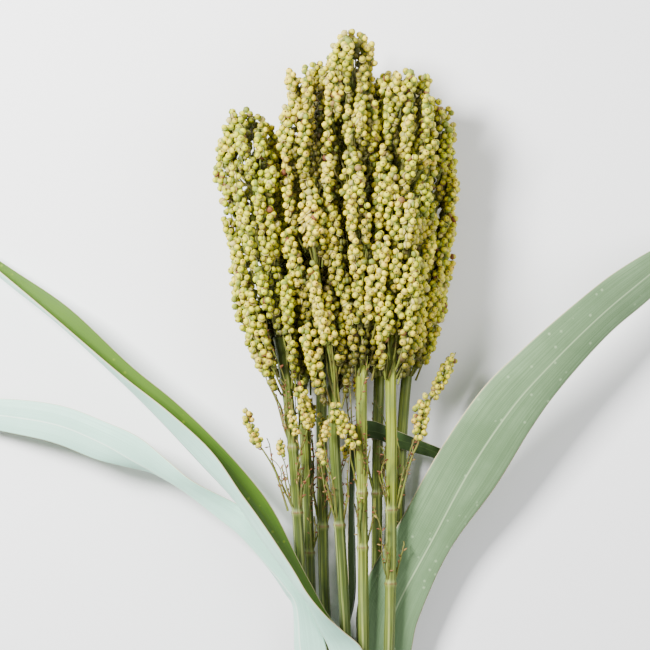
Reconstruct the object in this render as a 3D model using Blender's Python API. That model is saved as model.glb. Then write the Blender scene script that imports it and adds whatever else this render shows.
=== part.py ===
"""A bunch of cut sorghum seed heads: eight stalks, each with its head, four leaves and a twine tie.

The bunch lies along Y on a surface at z = 0, with the heads towards +Y. X runs across it and Z is up.
The front row of stalks lies on top of the back row, and their leaves spread to both sides.
"""

import math
import random
from dataclasses import dataclass

import bmesh
import bpy
from mathutils import Vector

MM = 0.001

# Driving dimensions, in metres
STALK_RADIUS = 3.6 * MM
RACHIS_RADIUS = 2.6 * MM
RACEME_RADIUS = 5.9 * MM
CLEARANCE = 0.4 * MM
MEETING_GAP = 0.3 * MM
LEAF_THICKNESS = 0.8 * MM
TWINE_RADIUS = 1.1 * MM
CUT_END_Y = -287.5 * MM
TIE_Y = -240 * MM

# Where each stalk's place is given: cut end, tie, above the leaves, whorls, head's base and middle
STATIONS_Y = (CUT_END_Y, TIE_Y, -117 * MM, 12 * MM, 65 * MM, 156 * MM)

# Shapes and counts
STALK_SIDES = 8
NODE_SWELL = 1.22
NODE_HALF_LENGTH = 3.5 * MM
WHORL_BRANCHES = 3
BRANCH_RADIUS = 0.85 * MM
RACEMES_PER_HEAD = 11
RACEMES_AT_BASE = 3
RACEME_SIDES = 6
RACEME_ROWS = 7
RACEME_SEEDED_FROM = 0.08
BUMP = 0.25
LONGEST_RACEME = 66 * MM
SHORTEST_RACEME = 36 * MM
CORE_SHARE = 0.5
FLOOR_SINK = 0.6
GOLDEN_ANGLE = math.radians(137.5)
LEAF_ROWS = 22
LEAF_COLUMNS = 6
LEAF_BOW = 0.05
SHEATH_HALF_ARC = math.radians(146)
SHEATH_RADII = (4.6 * MM, 4.6 * MM, 4.65 * MM, 5.2 * MM)


@dataclass(frozen=True)
class Stalk:
    """One cut stalk and its head.

    across and height are X and Z in mm at the stations and at the head's top.
    """

    name: str
    across: tuple
    height: tuple
    base_y: float
    top_y: float
    fullness: float
    whorls: tuple
    seed: int


STALKS = (
    Stalk("front_left", (3.5, 4.0, -12.4, -20.8, -26.6, -43.6, -52.0), (15.5, 15.5, 28, 39, 44, 50, 48),
          48 * MM, 237.5 * MM, 24.5 * MM, (14 * MM, -29 * MM), 11),
    Stalk("front_mid_left", (14.0, 14.5, 13.7, 6.5, 3.9, -8.0, -13.0), (15.5, 15.5, 28, 42, 49, 58, 58),
          42 * MM, 262 * MM, 21.5 * MM, (-37 * MM,), 23),
    Stalk("front_mid_right", (25.0, 25.2, 25.4, 24.0, 23.4, 19.5, 16.0), (15.5, 15.5, 28, 42, 50, 60, 57),
          61 * MM, 287.5 * MM, 21.5 * MM, (-16 * MM, -52 * MM), 37),
    Stalk("front_right", (35.0, 35.5, 42.3, 43.6, 42.9, 48.0, 53.0), (15.5, 15.5, 28, 42, 48, 55, 53),
          59 * MM, 262 * MM, 22.5 * MM, (-27 * MM, -76 * MM), 41),
    Stalk("back_left", (8.8, 9.3, -7.5, -13.0, -17.0, -25.4, -29.0), (6.3, 6.3, 7.6, 13, 16, 19.5, 20),
          50 * MM, 222 * MM, 20 * MM, (-58 * MM,), 53),
    Stalk("back_mid_left", (19.3, 19.8, 1.6, -2.0, -2.0, 3.0, 2.0), (6.3, 6.3, 12, 17, 18.5, 19.5, 21),
          60 * MM, 274 * MM, 20.5 * MM, (-40 * MM,), 67),
    Stalk("back_mid_right", (29.8, 30.3, 33.8, 35.0, 36.0, 35.8, 40.0), (6.3, 6.3, 11, 16, 18, 19.5, 21),
          60 * MM, 264 * MM, 20.5 * MM, (-18 * MM,), 71),
    Stalk("back_right", (40.3, 40.8, 46.5, 51.0, 55.0, 68.5, 71.0), (6.3, 6.3, 10, 14, 17, 21, 24),
          60 * MM, 245 * MM, 18.5 * MM, (), 97),
)
BY_NAME = {stalk.name: stalk for stalk in STALKS}


@dataclass(frozen=True)
class LooseRaceme:
    """A raceme that hangs clear of its head, on a branch through points in mm, bare up to seeds_from."""

    name: str
    points: tuple
    seeds_from: float
    radius: float


LOOSE_RACEMES = (
    LooseRaceme("loose_raceme_left", ((-24.3, -28, 36.5), (-28, -16, 37.5), (-33, -1, 38), (-40, 11, 38.5),
                (-45, 18, 38.5), (-49, 29, 38), (-52, 40, 38)), 0.6, 3.6 * MM),
    LooseRaceme("loose_raceme_right", ((48.3, -26, 39), (52, -10, 40), (57, 8, 41), (61, 17, 42),
                (62.5, 27, 42), (63, 38, 42), (68, 49, 42)), 0.55, 4.6 * MM),
    LooseRaceme("loose_raceme_far_right", ((48.3, -14, 37), (55, 8, 34.5), (62, 28, 34), (69, 44, 34),
                (75, 55, 34), (80, 66, 34), (86, 76, 34)), 0.55, 4.0 * MM),
    LooseRaceme("loose_raceme_middle", ((24, -3, 46.3), (24, 5, 50), (22, 13, 53), (17, 21, 55),
                (12, 28, 56), (8, 36, 57), (5.5, 44, 57)), 0.4, 4.6 * MM),
    LooseRaceme("loose_raceme_inner", ((-16, 12, 41), (-12.5, 21, 43), (-11.5, 29, 45), (-12, 37, 47),
                (-14, 44, 49), (-16, 51, 51), (-17, 58, 52)), 0.3, 3.9 * MM),
)


@dataclass(frozen=True)
class Leaf:
    """A leaf. Its sheath wraps the named stalk over sheath_y, open on the side that it faces.

    A row of the blade holds one margin, the midrib and the other margin, each as x, y, z in mm.
    """

    name: str
    stalk: str
    sheath_y: tuple
    sheath_faces: tuple
    rows: tuple


LEAVES = (
    Leaf("leaf_left_folded", "front_mid_left", (-222 * MM, -162 * MM), (1, 0, 0.1), (
        ((21, -142, 34), (7, -142, 26.5), (16, -144, 15.5)),
        ((25, -120.5, 36.5), (3.5, -120, 32), (13.5, -124.5, 20)),
        ((11.5, -105.5, 46), (-3.5, -105, 36.5), (10, -109, 25.5)),
        ((0, -94, 55), (-10.5, -89.5, 42.5), (0.5, -94, 35.5)),
        ((-11.5, -79.5, 59), (-18.5, -77.5, 46), (-8.5, -77, 39.5)),
        ((-21.5, -62.5, 61), (-26.5, -66, 48), (-17.5, -59.5, 42.5)),
        ((-40, -34, 64), (-45, -40, 50), (-32, -29.5, 44.5)),
        ((-54, -14.5, 65), (-59, -19.5, 51), (-46, -9, 46)),
        ((-73.5, 13, 64), (-82, 5.5, 52), (-69.5, 17.5, 47)),
        ((-101.5, 38.5, 63), (-108, 33, 50), (-97.5, 44, 46)),
        ((-132, 62, 59), (-135.5, 59.5, 46), (-127.5, 68, 42)),
        ((-173.5, 96.5, 49), (-176, 95.5, 37), (-168, 105, 33)),
        ((-208.5, 124.5, 33), (-212, 123, 24), (-206, 130, 20)),
        ((-239.5, 148.5, 16), (-241.5, 148, 12), (-239.5, 151.5, 10)),
        ((-262.4, 167.6, 5), (-262.9, 167, 4.7), (-262.4, 168, 4.5)),
    )),
    Leaf("leaf_left_pale", "front_left", (-212 * MM, -152 * MM), (0.75, 0, -0.66), (
        ((1.5, -137.5, 29.5), (-12, -137, 33), (-16.5, -141, 21.5)),
        ((1.5, -121.5, 31), (-16, -119.5, 34), (-20, -123.5, 22.5)),
        ((-6.5, -90.5, 34.5), (-18.5, -91, 37), (-21, -93.5, 26.5)),
        ((-17, -68, 36.3), (-25.5, -78.5, 38.3), (-26.5, -83, 27)),
        ((-29, -50.5, 36.5), (-40, -61.5, 38), (-39, -64.5, 27)),
        ((-44, -32, 36.5), (-56.5, -43.5, 38), (-55, -45.5, 27)),
        ((-60.5, -22, 36.5), (-69.5, -33, 38), (-68, -34, 27)),
        ((-86, -8, 45), (-92.5, -15, 37), (-91, -16.5, 26)),
        ((-104, 6.5, 43), (-112.5, -2.5, 36), (-113, -4.5, 25)),
        ((-122, 20.5, 38), (-129, 6.5, 35), (-132, 0.5, 28)),
        ((-143.5, 30, 34), (-147.5, 16.5, 33), (-151.5, 5.5, 29)),
        ((-175, 41, 28), (-177, 28, 28), (-180.5, 16.5, 26)),
        ((-214.5, 45, 19), (-216, 34, 19), (-218, 24, 17)),
        ((-246.5, 42.5, 11), (-247, 36, 11), (-248, 30, 9)),
        ((-261, 36.8, 5), (-261.5, 36.3, 4.7), (-261.5, 35.8, 4.5)),
    )),
    Leaf("leaf_right", "back_mid_right", (-221 * MM, -161 * MM), (0.1, 0, -0.99), (
        ((49, -144, 18), (38, -143, 21), (26, -142, 17.5)),
        ((57, -123, 20), (40.5, -121.5, 21), (21, -115, 20.5)),
        ((62.5, -99.5, 22), (47.5, -93.5, 22.5), (24, -82.5, 21.5)),
        ((82.5, -55, 25), (70.5, -49, 26.5), (49, -37, 25.5)),
        ((112.5, -12.5, 30), (95, -2, 33), (74.5, 10, 33)),
        ((135, 25.5, 36), (120.5, 37, 39.5), (102, 51, 40)),
        ((154.5, 53, 38), (143, 63.5, 43), (128, 77.5, 44)),
        ((185, 87, 37), (175.5, 96, 43), (163.5, 108.5, 45)),
        ((211.5, 109, 30), (203, 119, 36), (192, 130, 39)),
        ((240, 133, 19), (233, 141, 23), (226.5, 148.5, 25)),
        ((263, 156.5, 6), (262.8, 157, 5.7), (262.3, 157.5, 5.5)),
    )),
    Leaf("leaf_back", "back_mid_left", (-214 * MM, -167 * MM), (-1, 0, 0), (
        ((8, -150, 3.8), (11.7, -150, 11), (4.8, -149, 17.2)),
        ((11.5, -136, 5.5), (10.4, -135, 12.8), (6.5, -133, 18.8)),
        ((13.5, -116.5, 9.5), (12.5, -116, 15.5), (8.5, -113.5, 20.5)),
        ((20, -89.5, 11.5), (18.5, -87, 17.5), (15, -84.5, 22.3)),
        ((20.5, -62.5, 14.5), (18.5, -59.5, 20.5), (15, -57, 25)),
        ((19.5, -29, 18.5), (18, -28.5, 24.5), (15.5, -28, 29)),
        ((20.5, 1, 22.5), (19, 3.5, 28), (16.5, 6.5, 32)),
        ((25, 17.5, 25), (22, 22, 30), (18.5, 27, 33)),
        ((34.5, 18.5, 26), (32.5, 24, 30), (30.5, 31, 32)),
        ((47.5, 13, 23.5), (48, 18.5, 27), (48, 24, 29)),
        ((61, 9, 21), (63, 14, 24), (64, 17.5, 26)),
        ((72.5, 5.5, 18.5), (75, 9, 21), (77, 12, 22.5)),
        ((90.5, -2.5, 14.5), (92.5, 0.5, 15.5), (94.5, 3.5, 16.5)),
        ((110, -9, 8), (110.5, -8.5, 8), (111, -8, 8)),
    )),
)

# Base colours and roughness of the five finishes
FINISHES = {
    "seed": ((0.62, 0.58, 0.27, 1), 0.55),
    "stalk": ((0.36, 0.43, 0.20, 1), 0.5),
    "leaf_pale": ((0.50, 0.61, 0.50, 1), 0.6),
    "leaf_green": ((0.16, 0.30, 0.06, 1), 0.5),
    "twine": ((0.55, 0.42, 0.26, 1), 0.85),
}


def smooth_value(knots, values, at):
    """The value at a place along uneven knots, on a smooth curve through them."""
    last = len(knots) - 1
    at = min(max(at, knots[0]), knots[-1])
    i = max(k for k in range(last) if knots[k] <= at)
    span = knots[i + 1] - knots[i]

    def slope(k):
        before, after = max(k - 1, 0), min(k + 1, last)
        return (values[after] - values[before]) / (knots[after] - knots[before])

    t = (at - knots[i]) / span
    return (values[i] * (1 + 2 * t) * (1 - t) ** 2 + values[i + 1] * t * t * (3 - 2 * t)
            + span * slope(i) * t * (1 - t) ** 2 - span * slope(i + 1) * t * t * (1 - t))


def smooth_point(points, share):
    """The point at a share, 0 to 1, along a smooth curve through evenly counted points."""
    knots = [i / (len(points) - 1) for i in range(len(points))]
    return Vector([smooth_value(knots, [p[axis] for p in points], share) for axis in range(3)])


def axis_point(stalk, y):
    """The centre of a stalk, or of its head's rachis, at a height along the bunch."""
    knots = STATIONS_Y + (stalk.top_y,)
    x, z = (smooth_value(knots, values, y) * MM for values in (stalk.across, stalk.height))
    return Vector((x, y, z))


def keep_in_cell(stalk, point, radius):
    """Moves a point so that a round piece there stays clear of each neighbour's side and of the surface."""
    own = axis_point(stalk, point.y)
    for other in STALKS:
        if other is stalk or point.y > other.top_y + radius:
            continue
        away = axis_point(other, point.y) - own
        room = away.length / 2 - CLEARANCE - radius
        away.normalize()
        over = (point - own).dot(away) - room
        if over > 0:
            point = point - away * over
    return Vector((point.x, point.y, max(point.z, radius * FLOOR_SINK)))


def material_of(name):
    """The named finish as a Blender material."""
    found = bpy.data.materials.get(name)
    if found:
        return found
    colour, roughness = FINISHES[name]
    made = bpy.data.materials.new(name)
    made.use_nodes = True
    shader = made.node_tree.nodes["Principled BSDF"]
    shader.inputs["Base Color"].default_value = colour
    shader.inputs["Roughness"].default_value = roughness
    made.diffuse_color = colour
    return made


def add_object(name, mesh, finish, collection=None):
    """Puts a finished bmesh into the scene as one object."""
    bmesh.ops.triangulate(mesh, faces=mesh.faces[:])
    data = bpy.data.meshes.new(name)
    mesh.to_mesh(data)
    mesh.free()
    data.shade_smooth()
    data.materials.append(material_of(finish))
    made = bpy.data.objects.new(name, data)
    (collection or bpy.context.scene.collection).objects.link(made)
    return made


def bridge(mesh, rings, closed_ends=True):
    """Joins rings of vertices, bottom to top, into a tube with flat ends."""
    for low, high in zip(rings, rings[1:]):
        count = len(low)
        for i in range(count):
            j = (i + 1) % count
            mesh.faces.new((low[i], low[j], high[j], high[i]))
    if closed_ends:
        mesh.faces.new(rings[0][::-1])
        mesh.faces.new(rings[-1])


def level_ring(mesh, centre, radius, sides, turn=0.0):
    """A ring of vertices round a stalk, in the plane across the bunch."""
    angles = [turn + 2 * math.pi * i / sides for i in range(sides)]
    return [mesh.verts.new(centre + Vector((math.cos(a), 0, -math.sin(a))) * radius) for a in angles]


def tube(points, radii, sides):
    """A closed tube through points, as a bmesh, with rings square to its path."""
    mesh = bmesh.new()
    rings = []
    side = Vector((0, 0, 1))
    for i, point in enumerate(points):
        along = (points[min(i + 1, len(points) - 1)] - points[max(i - 1, 0)]).normalized()
        first = along.cross(side).normalized()
        second = along.cross(first).normalized()
        rings.append([mesh.verts.new(point + (first * math.cos(a) + second * math.sin(a)) * radii[i])
                      for a in (2 * math.pi * k / sides for k in range(sides))])
    bridge(mesh, rings)
    return mesh


def seeded_spindle(spine, radius, seeds_from, phase):
    """A raceme's seeds as one knobbly spindle along the outer share of its spine.

    Every other vertex of its rings stands out, and the four faces round it make it one large seed.
    """
    mesh = bmesh.new()
    foot, tip = (mesh.verts.new(smooth_point(spine, share)) for share in (seeds_from, 1))
    rings = []
    for row in range(1, RACEME_ROWS):
        part = row / RACEME_ROWS
        share = seeds_from + (1 - seeds_from) * part
        centre = smooth_point(spine, share)
        ahead = smooth_point(spine, min(share + 0.04, 1)) - smooth_point(spine, max(share - 0.04, 0))
        first = ahead.cross(Vector((0, 0, 1))).normalized()
        second = ahead.normalized().cross(first)
        width = radius * (4 * part * (1 - part)) ** 0.3
        ring = []
        for column in range(RACEME_SIDES):
            angle = phase + 2 * math.pi * column / RACEME_SIDES
            reach = width * (1 + BUMP if (row + column) % 2 else 1 - BUMP)
            out = first * math.cos(angle) + second * math.sin(angle)
            ring.append(mesh.verts.new(centre + out * reach))
        rings.append(ring)
    for i in range(RACEME_SIDES):
        j = (i + 1) % RACEME_SIDES
        mesh.faces.new((foot, rings[0][j], rings[0][i]))
        mesh.faces.new((tip, rings[-1][i], rings[-1][j]))
        for row, (low, high) in enumerate(zip(rings, rings[1:]), start=1):
            if (row + i) % 2:
                halves = (low[i], low[j], high[i]), (low[j], high[j], high[i])
            else:
                halves = (low[i], low[j], high[j]), (low[i], high[j], high[i])
            for corners in halves:
                mesh.faces.new(corners)
    bmesh.ops.recalc_face_normals(mesh, faces=mesh.faces[:])
    return mesh


def join_pieces(body, pieces):
    """Fuses pieces into a body with one Boolean union, applies it and removes the pieces."""
    group = bpy.data.collections.new("pieces_of_" + body.name)
    bpy.context.scene.collection.children.link(group)
    for piece in pieces:
        bpy.context.scene.collection.objects.unlink(piece)
        group.objects.link(piece)
    union = body.modifiers.new("join", "BOOLEAN")
    union.operation = "UNION"
    union.solver = "EXACT"
    union.operand_type = "COLLECTION"
    union.collection = group
    apply_modifiers(body)
    for piece in list(group.objects):
        bpy.data.objects.remove(piece)
    bpy.data.collections.remove(group)


def apply_modifiers(body):
    """Turns a body's modified shape into its own mesh, and fills any hollow that it closes in."""
    graph = bpy.context.evaluated_depsgraph_get()
    shaped = bpy.data.meshes.new_from_object(body.evaluated_get(graph))
    body.modifiers.clear()
    body.data = shaped
    clean = bmesh.new()
    clean.from_mesh(shaped)
    shells = connected_shells(clean)
    shells.remove(max(shells, key=len))
    bmesh.ops.delete(clean, geom=[vertex for shell in shells for vertex in shell], context="VERTS")
    bmesh.ops.triangulate(clean, faces=clean.faces[:])
    clean.to_mesh(shaped)
    clean.free()
    shaped.shade_smooth()


def connected_shells(mesh):
    """The vertices of each connected shell of a bmesh."""
    left = set(mesh.verts)
    shells = []
    while left:
        shell = {left.pop()}
        edge_of_shell = list(shell)
        while edge_of_shell:
            vertex = edge_of_shell.pop()
            found = {edge.other_vert(vertex) for edge in vertex.link_edges} - shell
            shell |= found
            edge_of_shell.extend(found)
        left -= shell
        shells.append(shell)
    return shells


def head_width(share):
    """How full a head is at a share of its length, from its base to its tip."""
    return smooth_value((0, 0.15, 0.45, 0.8, 1), (0.72, 0.94, 1, 0.88, 0.52), share)


def raceme_spines(stalk):
    """The spines of a head's racemes, from the rachis outwards and up, and one on the rachis's own tip."""
    draw = random.Random(stalk.seed)
    length = stalk.top_y - stalk.base_y
    spines = []
    for i in range(RACEMES_PER_HEAD - 1):
        share = max(0, i + 1 - RACEMES_AT_BASE) / (RACEMES_PER_HEAD - RACEMES_AT_BASE)
        node_y = stalk.base_y + length * 0.82 * share
        reach = LONGEST_RACEME + (SHORTEST_RACEME - LONGEST_RACEME) * share
        reach = min(reach * draw.uniform(0.9, 1.1), stalk.top_y - 2 * MM - node_y)
        turn = i * GOLDEN_ANGLE + draw.uniform(-0.25, 0.25)
        out = Vector((math.cos(turn), 0, math.sin(turn)))
        spread = (stalk.fullness * draw.uniform(0.94, 1.05)) - RACEME_RADIUS
        spine = []
        for step in range(6):
            along = step / 5
            y = node_y + reach * along
            width = spread * head_width((y - stalk.base_y) / length) * min(1, 0.3 + along / 0.45)
            radius = RACEME_RADIUS * (1 + BUMP) if along > 0.15 else RACHIS_RADIUS
            spine.append(keep_in_cell(stalk, axis_point(stalk, y) + out * width, radius))
        spines.append(spine)
    tip = [axis_point(stalk, stalk.top_y - SHORTEST_RACEME * 1.2 * (1 - step / 5)) for step in range(6)]
    spines.append([keep_in_cell(stalk, point, RACEME_RADIUS * (1 + BUMP)) for point in tip])
    return spines


def build_head(stalk):
    """A head: a core on the rachis and the racemes that stand out of it, flat where it lies down."""
    length = stalk.top_y - stalk.base_y
    core = bmesh.new()
    rings = []
    for share in (0, 0.03, 0.1, 0.28, 0.5, 0.7, 0.88):
        centre = axis_point(stalk, stalk.base_y + length * share)
        inner = CORE_SHARE * (stalk.fullness - RACEME_RADIUS) * head_width(share)
        opening = min(1, share / 0.1) ** 0.6
        radius = STALK_RADIUS + (inner - STALK_RADIUS) * opening
        rings.append(level_ring(core, keep_in_cell(stalk, centre, radius), radius, STALK_SIDES))
    bridge(core, rings)
    head = add_object("head_" + stalk.name, core, "seed")
    draw = random.Random(stalk.seed * 7)
    racemes = []
    for spine in raceme_spines(stalk):
        knobs = seeded_spindle(spine, RACEME_RADIUS, RACEME_SEEDED_FROM, draw.uniform(0, 6))
        racemes.append(add_object("raceme", knobs, "seed"))
    join_pieces(head, racemes)
    press_on_surface(head)


def press_on_surface(body):
    """Cuts a body level with the surface where it would reach below it."""
    places = [vertex.co for vertex in body.data.vertices]
    low = Vector([min(place[axis] for place in places) for axis in range(3)])
    high = Vector([max(place[axis] for place in places) for axis in range(3)])
    if low.z >= 0:
        return
    slab = bmesh.new()
    bmesh.ops.create_cube(slab, size=1)
    bmesh.ops.scale(slab, vec=Vector((high.x - low.x, high.y - low.y, 10 * MM)), verts=slab.verts[:])
    bmesh.ops.translate(slab, vec=Vector(((low.x + high.x) / 2, (low.y + high.y) / 2, -5 * MM)),
                        verts=slab.verts[:])
    surface = add_object("surface", slab, "stalk")
    cut = body.modifiers.new("press", "BOOLEAN")
    cut.operation = "DIFFERENCE"
    cut.solver = "EXACT"
    cut.object = surface
    apply_modifiers(body)
    bpy.data.objects.remove(surface)


def whorl_branches(stalk, y, draw):
    """The thin bare branches that stand up round a stalk from one of its whorls."""
    made = []
    start = draw.uniform(0, 2 * math.pi)
    for i in range(WHORL_BRANCHES):
        turn = start + 2 * math.pi * i / WHORL_BRANCHES + draw.uniform(-0.3, 0.3)
        out = Vector((math.cos(turn), 0, math.sin(turn)))
        reach = draw.uniform(24, 36) * MM
        lean = draw.uniform(4.5, 6.5) * MM
        points, radii = [], []
        for step in range(4):
            along = step / 3
            place = STALK_RADIUS * 0.5 + (STALK_RADIUS * 0.5 + lean) * along ** 0.8
            point = axis_point(stalk, y + reach * along) + out * place
            points.append(keep_in_cell(stalk, point, BRANCH_RADIUS * 1.2))
            radii.append(BRANCH_RADIUS * (1.25 - 0.45 * along))
        made.append(add_object("branch", tube(points, radii, 4), "stalk"))
    return made


def build_stalk(stalk):
    """A stalk from its cut end to its head, with a swollen ring and thin branches at each bare whorl."""
    top = stalk.base_y - MEETING_GAP
    rows = {y * MM: 1 for y in (-287.5, -250, -240, -230, -215, -200, -185, -170, -155, -140, -117)}
    rows[top] = 1
    for y in stalk.whorls:
        rows[y] = NODE_SWELL
        rows[y - NODE_HALF_LENGTH] = 1
        rows[y + NODE_HALF_LENGTH] = 0.96
    mesh = bmesh.new()
    rings = [level_ring(mesh, axis_point(stalk, y), STALK_RADIUS * swell, STALK_SIDES)
             for y, swell in sorted(rows.items())]
    bridge(mesh, rings)
    body = add_object("stalk_" + stalk.name, mesh, "stalk")
    draw = random.Random(stalk.seed * 3)
    branches = [branch for y in stalk.whorls for branch in whorl_branches(stalk, y, draw)]
    if branches:
        join_pieces(body, branches)


def build_loose_raceme(raceme):
    """A raceme that hangs clear of its head, with the branch that it grows on."""
    spine = [Vector(p) * MM for p in raceme.points]
    stem_points = [smooth_point(spine, share * 0.1) for share in range(9)]
    stem = add_object(raceme.name, tube(stem_points, [BRANCH_RADIUS] * len(stem_points), 4), "seed")
    seeds = add_object("seeds", seeded_spindle(spine, raceme.radius, raceme.seeds_from, 0), "seed")
    join_pieces(stem, [seeds])


def sheath_row(stalk, y, faces, radius):
    """A row of points round a stalk, from one edge of the sheath by its midrib to the other edge."""
    axis = axis_point(stalk, y)
    across = Vector((0, 1, 0)).cross(faces)
    angles = [SHEATH_HALF_ARC * (2 * k / LEAF_COLUMNS - 1) for k in range(LEAF_COLUMNS + 1)]
    return [axis + (across * math.sin(angle) - faces * math.cos(angle)) * radius for angle in angles]


def blade_row(row, ahead):
    """A row of points from one margin by the midrib to the other, bowed a little towards the underside."""
    minus, midrib, plus = (Vector(point) * MM for point in row)
    under = ahead.cross(plus - minus).normalized()
    points = []
    for k in range(LEAF_COLUMNS + 1):
        share = 2 * k / LEAF_COLUMNS - 1
        reach = (plus if share > 0 else minus) - midrib
        part = abs(share)
        points.append(midrib + reach * part + under * (LEAF_BOW * reach.length * 4 * part * (1 - part)))
    return points


def blade_grid(leaf):
    """The middle of the leaf's sheet, as rows of points from its sheath's foot to its tip."""
    stalk = BY_NAME[leaf.stalk]
    faces = Vector(leaf.sheath_faces).normalized()
    low, high = leaf.sheath_y
    given = [sheath_row(stalk, low + (high - low) * step / 3, faces, radius)
             for step, radius in enumerate(SHEATH_RADII)]
    midribs = [row[LEAF_COLUMNS // 2] for row in given] + [Vector(row[1]) * MM for row in leaf.rows]
    for i, row in enumerate(leaf.rows, start=4):
        ahead = midribs[min(i + 1, len(midribs) - 1)] - midribs[i - 1]
        given.append(blade_row(row, ahead))
    columns = [[row[k] for row in given] for k in range(LEAF_COLUMNS + 1)]
    return [[smooth_point(column, i / LEAF_ROWS) for column in columns] for i in range(LEAF_ROWS + 1)]


def sheet_normals(grid):
    """The direction square to the sheet at each point of the grid."""
    rows, columns = len(grid), len(grid[0])
    normals = []
    for i in range(rows):
        line = []
        for j in range(columns):
            along = grid[min(i + 1, rows - 1)][j] - grid[max(i - 1, 0)][j]
            across = grid[i][min(j + 1, columns - 1)] - grid[i][max(j - 1, 0)]
            line.append(across.cross(along).normalized())
        normals.append(line)
    return normals


def build_leaf(leaf):
    """A leaf as one thin solid sheet: its sheath round the stalk, and its blade tapering to the tip."""
    grid = blade_grid(leaf)
    normals = sheet_normals(grid)
    mesh = bmesh.new()
    sides = [[[mesh.verts.new(grid[i][j] + normals[i][j] * half) for j in range(LEAF_COLUMNS + 1)]
              for i in range(LEAF_ROWS + 1)] for half in (LEAF_THICKNESS / 2, -LEAF_THICKNESS / 2)]
    front, back = sides
    for i in range(LEAF_ROWS):
        for j in range(LEAF_COLUMNS):
            even = (i + j) % 2 == 0
            for face, turned in ((front, False), (back, True)):
                a, b, c, d = face[i][j], face[i][j + 1], face[i + 1][j + 1], face[i + 1][j]
                halves = ((a, b, c), (a, c, d)) if even else ((a, b, d), (b, c, d))
                for corners in halves:
                    mesh.faces.new(corners[::-1] if turned else corners)
    rim = ([(i, 0) for i in range(LEAF_ROWS, 0, -1)] + [(0, j) for j in range(LEAF_COLUMNS)]
           + [(i, LEAF_COLUMNS) for i in range(LEAF_ROWS)]
           + [(LEAF_ROWS, j) for j in range(LEAF_COLUMNS, 0, -1)])
    for (i, j), (k, m) in zip(rim, rim[1:] + rim[:1]):
        mesh.faces.new((front[i][j], back[i][j], back[k][m], front[k][m]))
    bmesh.ops.recalc_face_normals(mesh, faces=mesh.faces[:])
    add_object(leaf.name, mesh, "leaf_green" if leaf.name == "leaf_back" else "leaf_pale")


def bundle_outline(y, offset, corner_steps=5):
    """The outline round the whole bundle at one place, that far outside its four corner stalks."""
    names = ("front_right", "front_left", "back_left", "back_right")
    corners = [axis_point(BY_NAME[name], y) for name in names]
    reach = STALK_RADIUS + offset
    points = []
    for i, corner in enumerate(corners):
        before = (corner - corners[i - 1]).normalized()
        after = (corners[(i + 1) % 4] - corner).normalized()
        first = math.atan2(-before.x, before.z)
        turn = (math.atan2(-after.x, after.z) - first) % (2 * math.pi)
        for step in range(corner_steps):
            angle = first + turn * step / (corner_steps - 1)
            points.append(corner + Vector((math.cos(angle), 0, math.sin(angle))) * reach)
    return points


def build_tie():
    """Three turns of twine round the bundle, side by side, as one ridged band."""
    turns = 3
    profile = []
    for turn in range(turns):
        low = (turn - turns / 2) * 2 * TWINE_RADIUS
        profile.append((low, TWINE_RADIUS * 1.45))
        profile.append((low + TWINE_RADIUS, TWINE_RADIUS * 2))
    profile.append((turns * TWINE_RADIUS, TWINE_RADIUS * 1.45))
    profile += [(turns * TWINE_RADIUS, 0), (-turns * TWINE_RADIUS, 0)]
    mesh = bmesh.new()
    rings = [[mesh.verts.new(point) for point in bundle_outline(TIE_Y + along, CLEARANCE + out)]
             for along, out in profile]
    for low, high in zip(rings, rings[1:] + rings[:1]):
        for i in range(len(low)):
            j = (i + 1) % len(low)
            mesh.faces.new((low[i], low[j], high[j], high[i]))
    bmesh.ops.recalc_face_normals(mesh, faces=mesh.faces[:])
    add_object("tie", mesh, "twine")


def main():
    """Clears the scene and builds the bunch."""
    for old in list(bpy.data.objects):
        bpy.data.objects.remove(old)
    for stalk in STALKS:
        build_stalk(stalk)
        build_head(stalk)
    for raceme in LOOSE_RACEMES:
        build_loose_raceme(raceme)
    for leaf in LEAVES:
        build_leaf(leaf)
    build_tie()


main()
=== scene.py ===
"""The looks of a bunch of sorghum seed heads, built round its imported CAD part.

The bunch lies along Y on a surface at z = 0, with the heads towards +Y. Seeds, branches, stalks, leaves and
twine are laid on the same lines as the CAD solids that they stand for, and finer.
"""

import logging
import math
import random
from dataclasses import dataclass, field
from enum import Enum
from typing import Callable, Sequence

import bmesh
import bpy
import numpy as np
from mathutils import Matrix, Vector

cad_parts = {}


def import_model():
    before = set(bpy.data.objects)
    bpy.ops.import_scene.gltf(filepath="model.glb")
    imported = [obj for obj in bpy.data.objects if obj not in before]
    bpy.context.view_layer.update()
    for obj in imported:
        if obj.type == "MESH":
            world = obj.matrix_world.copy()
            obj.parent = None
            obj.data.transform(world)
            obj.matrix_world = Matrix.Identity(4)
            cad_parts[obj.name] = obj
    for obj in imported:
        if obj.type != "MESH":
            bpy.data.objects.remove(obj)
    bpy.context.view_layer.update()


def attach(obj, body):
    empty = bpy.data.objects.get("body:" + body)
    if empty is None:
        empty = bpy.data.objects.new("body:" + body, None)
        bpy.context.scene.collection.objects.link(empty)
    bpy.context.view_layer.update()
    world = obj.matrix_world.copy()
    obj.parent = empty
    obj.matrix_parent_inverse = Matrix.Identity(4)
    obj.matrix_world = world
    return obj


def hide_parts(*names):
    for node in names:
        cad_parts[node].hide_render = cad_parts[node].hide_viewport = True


LOG = logging.getLogger("sorghum")
MM = 0.001

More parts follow.
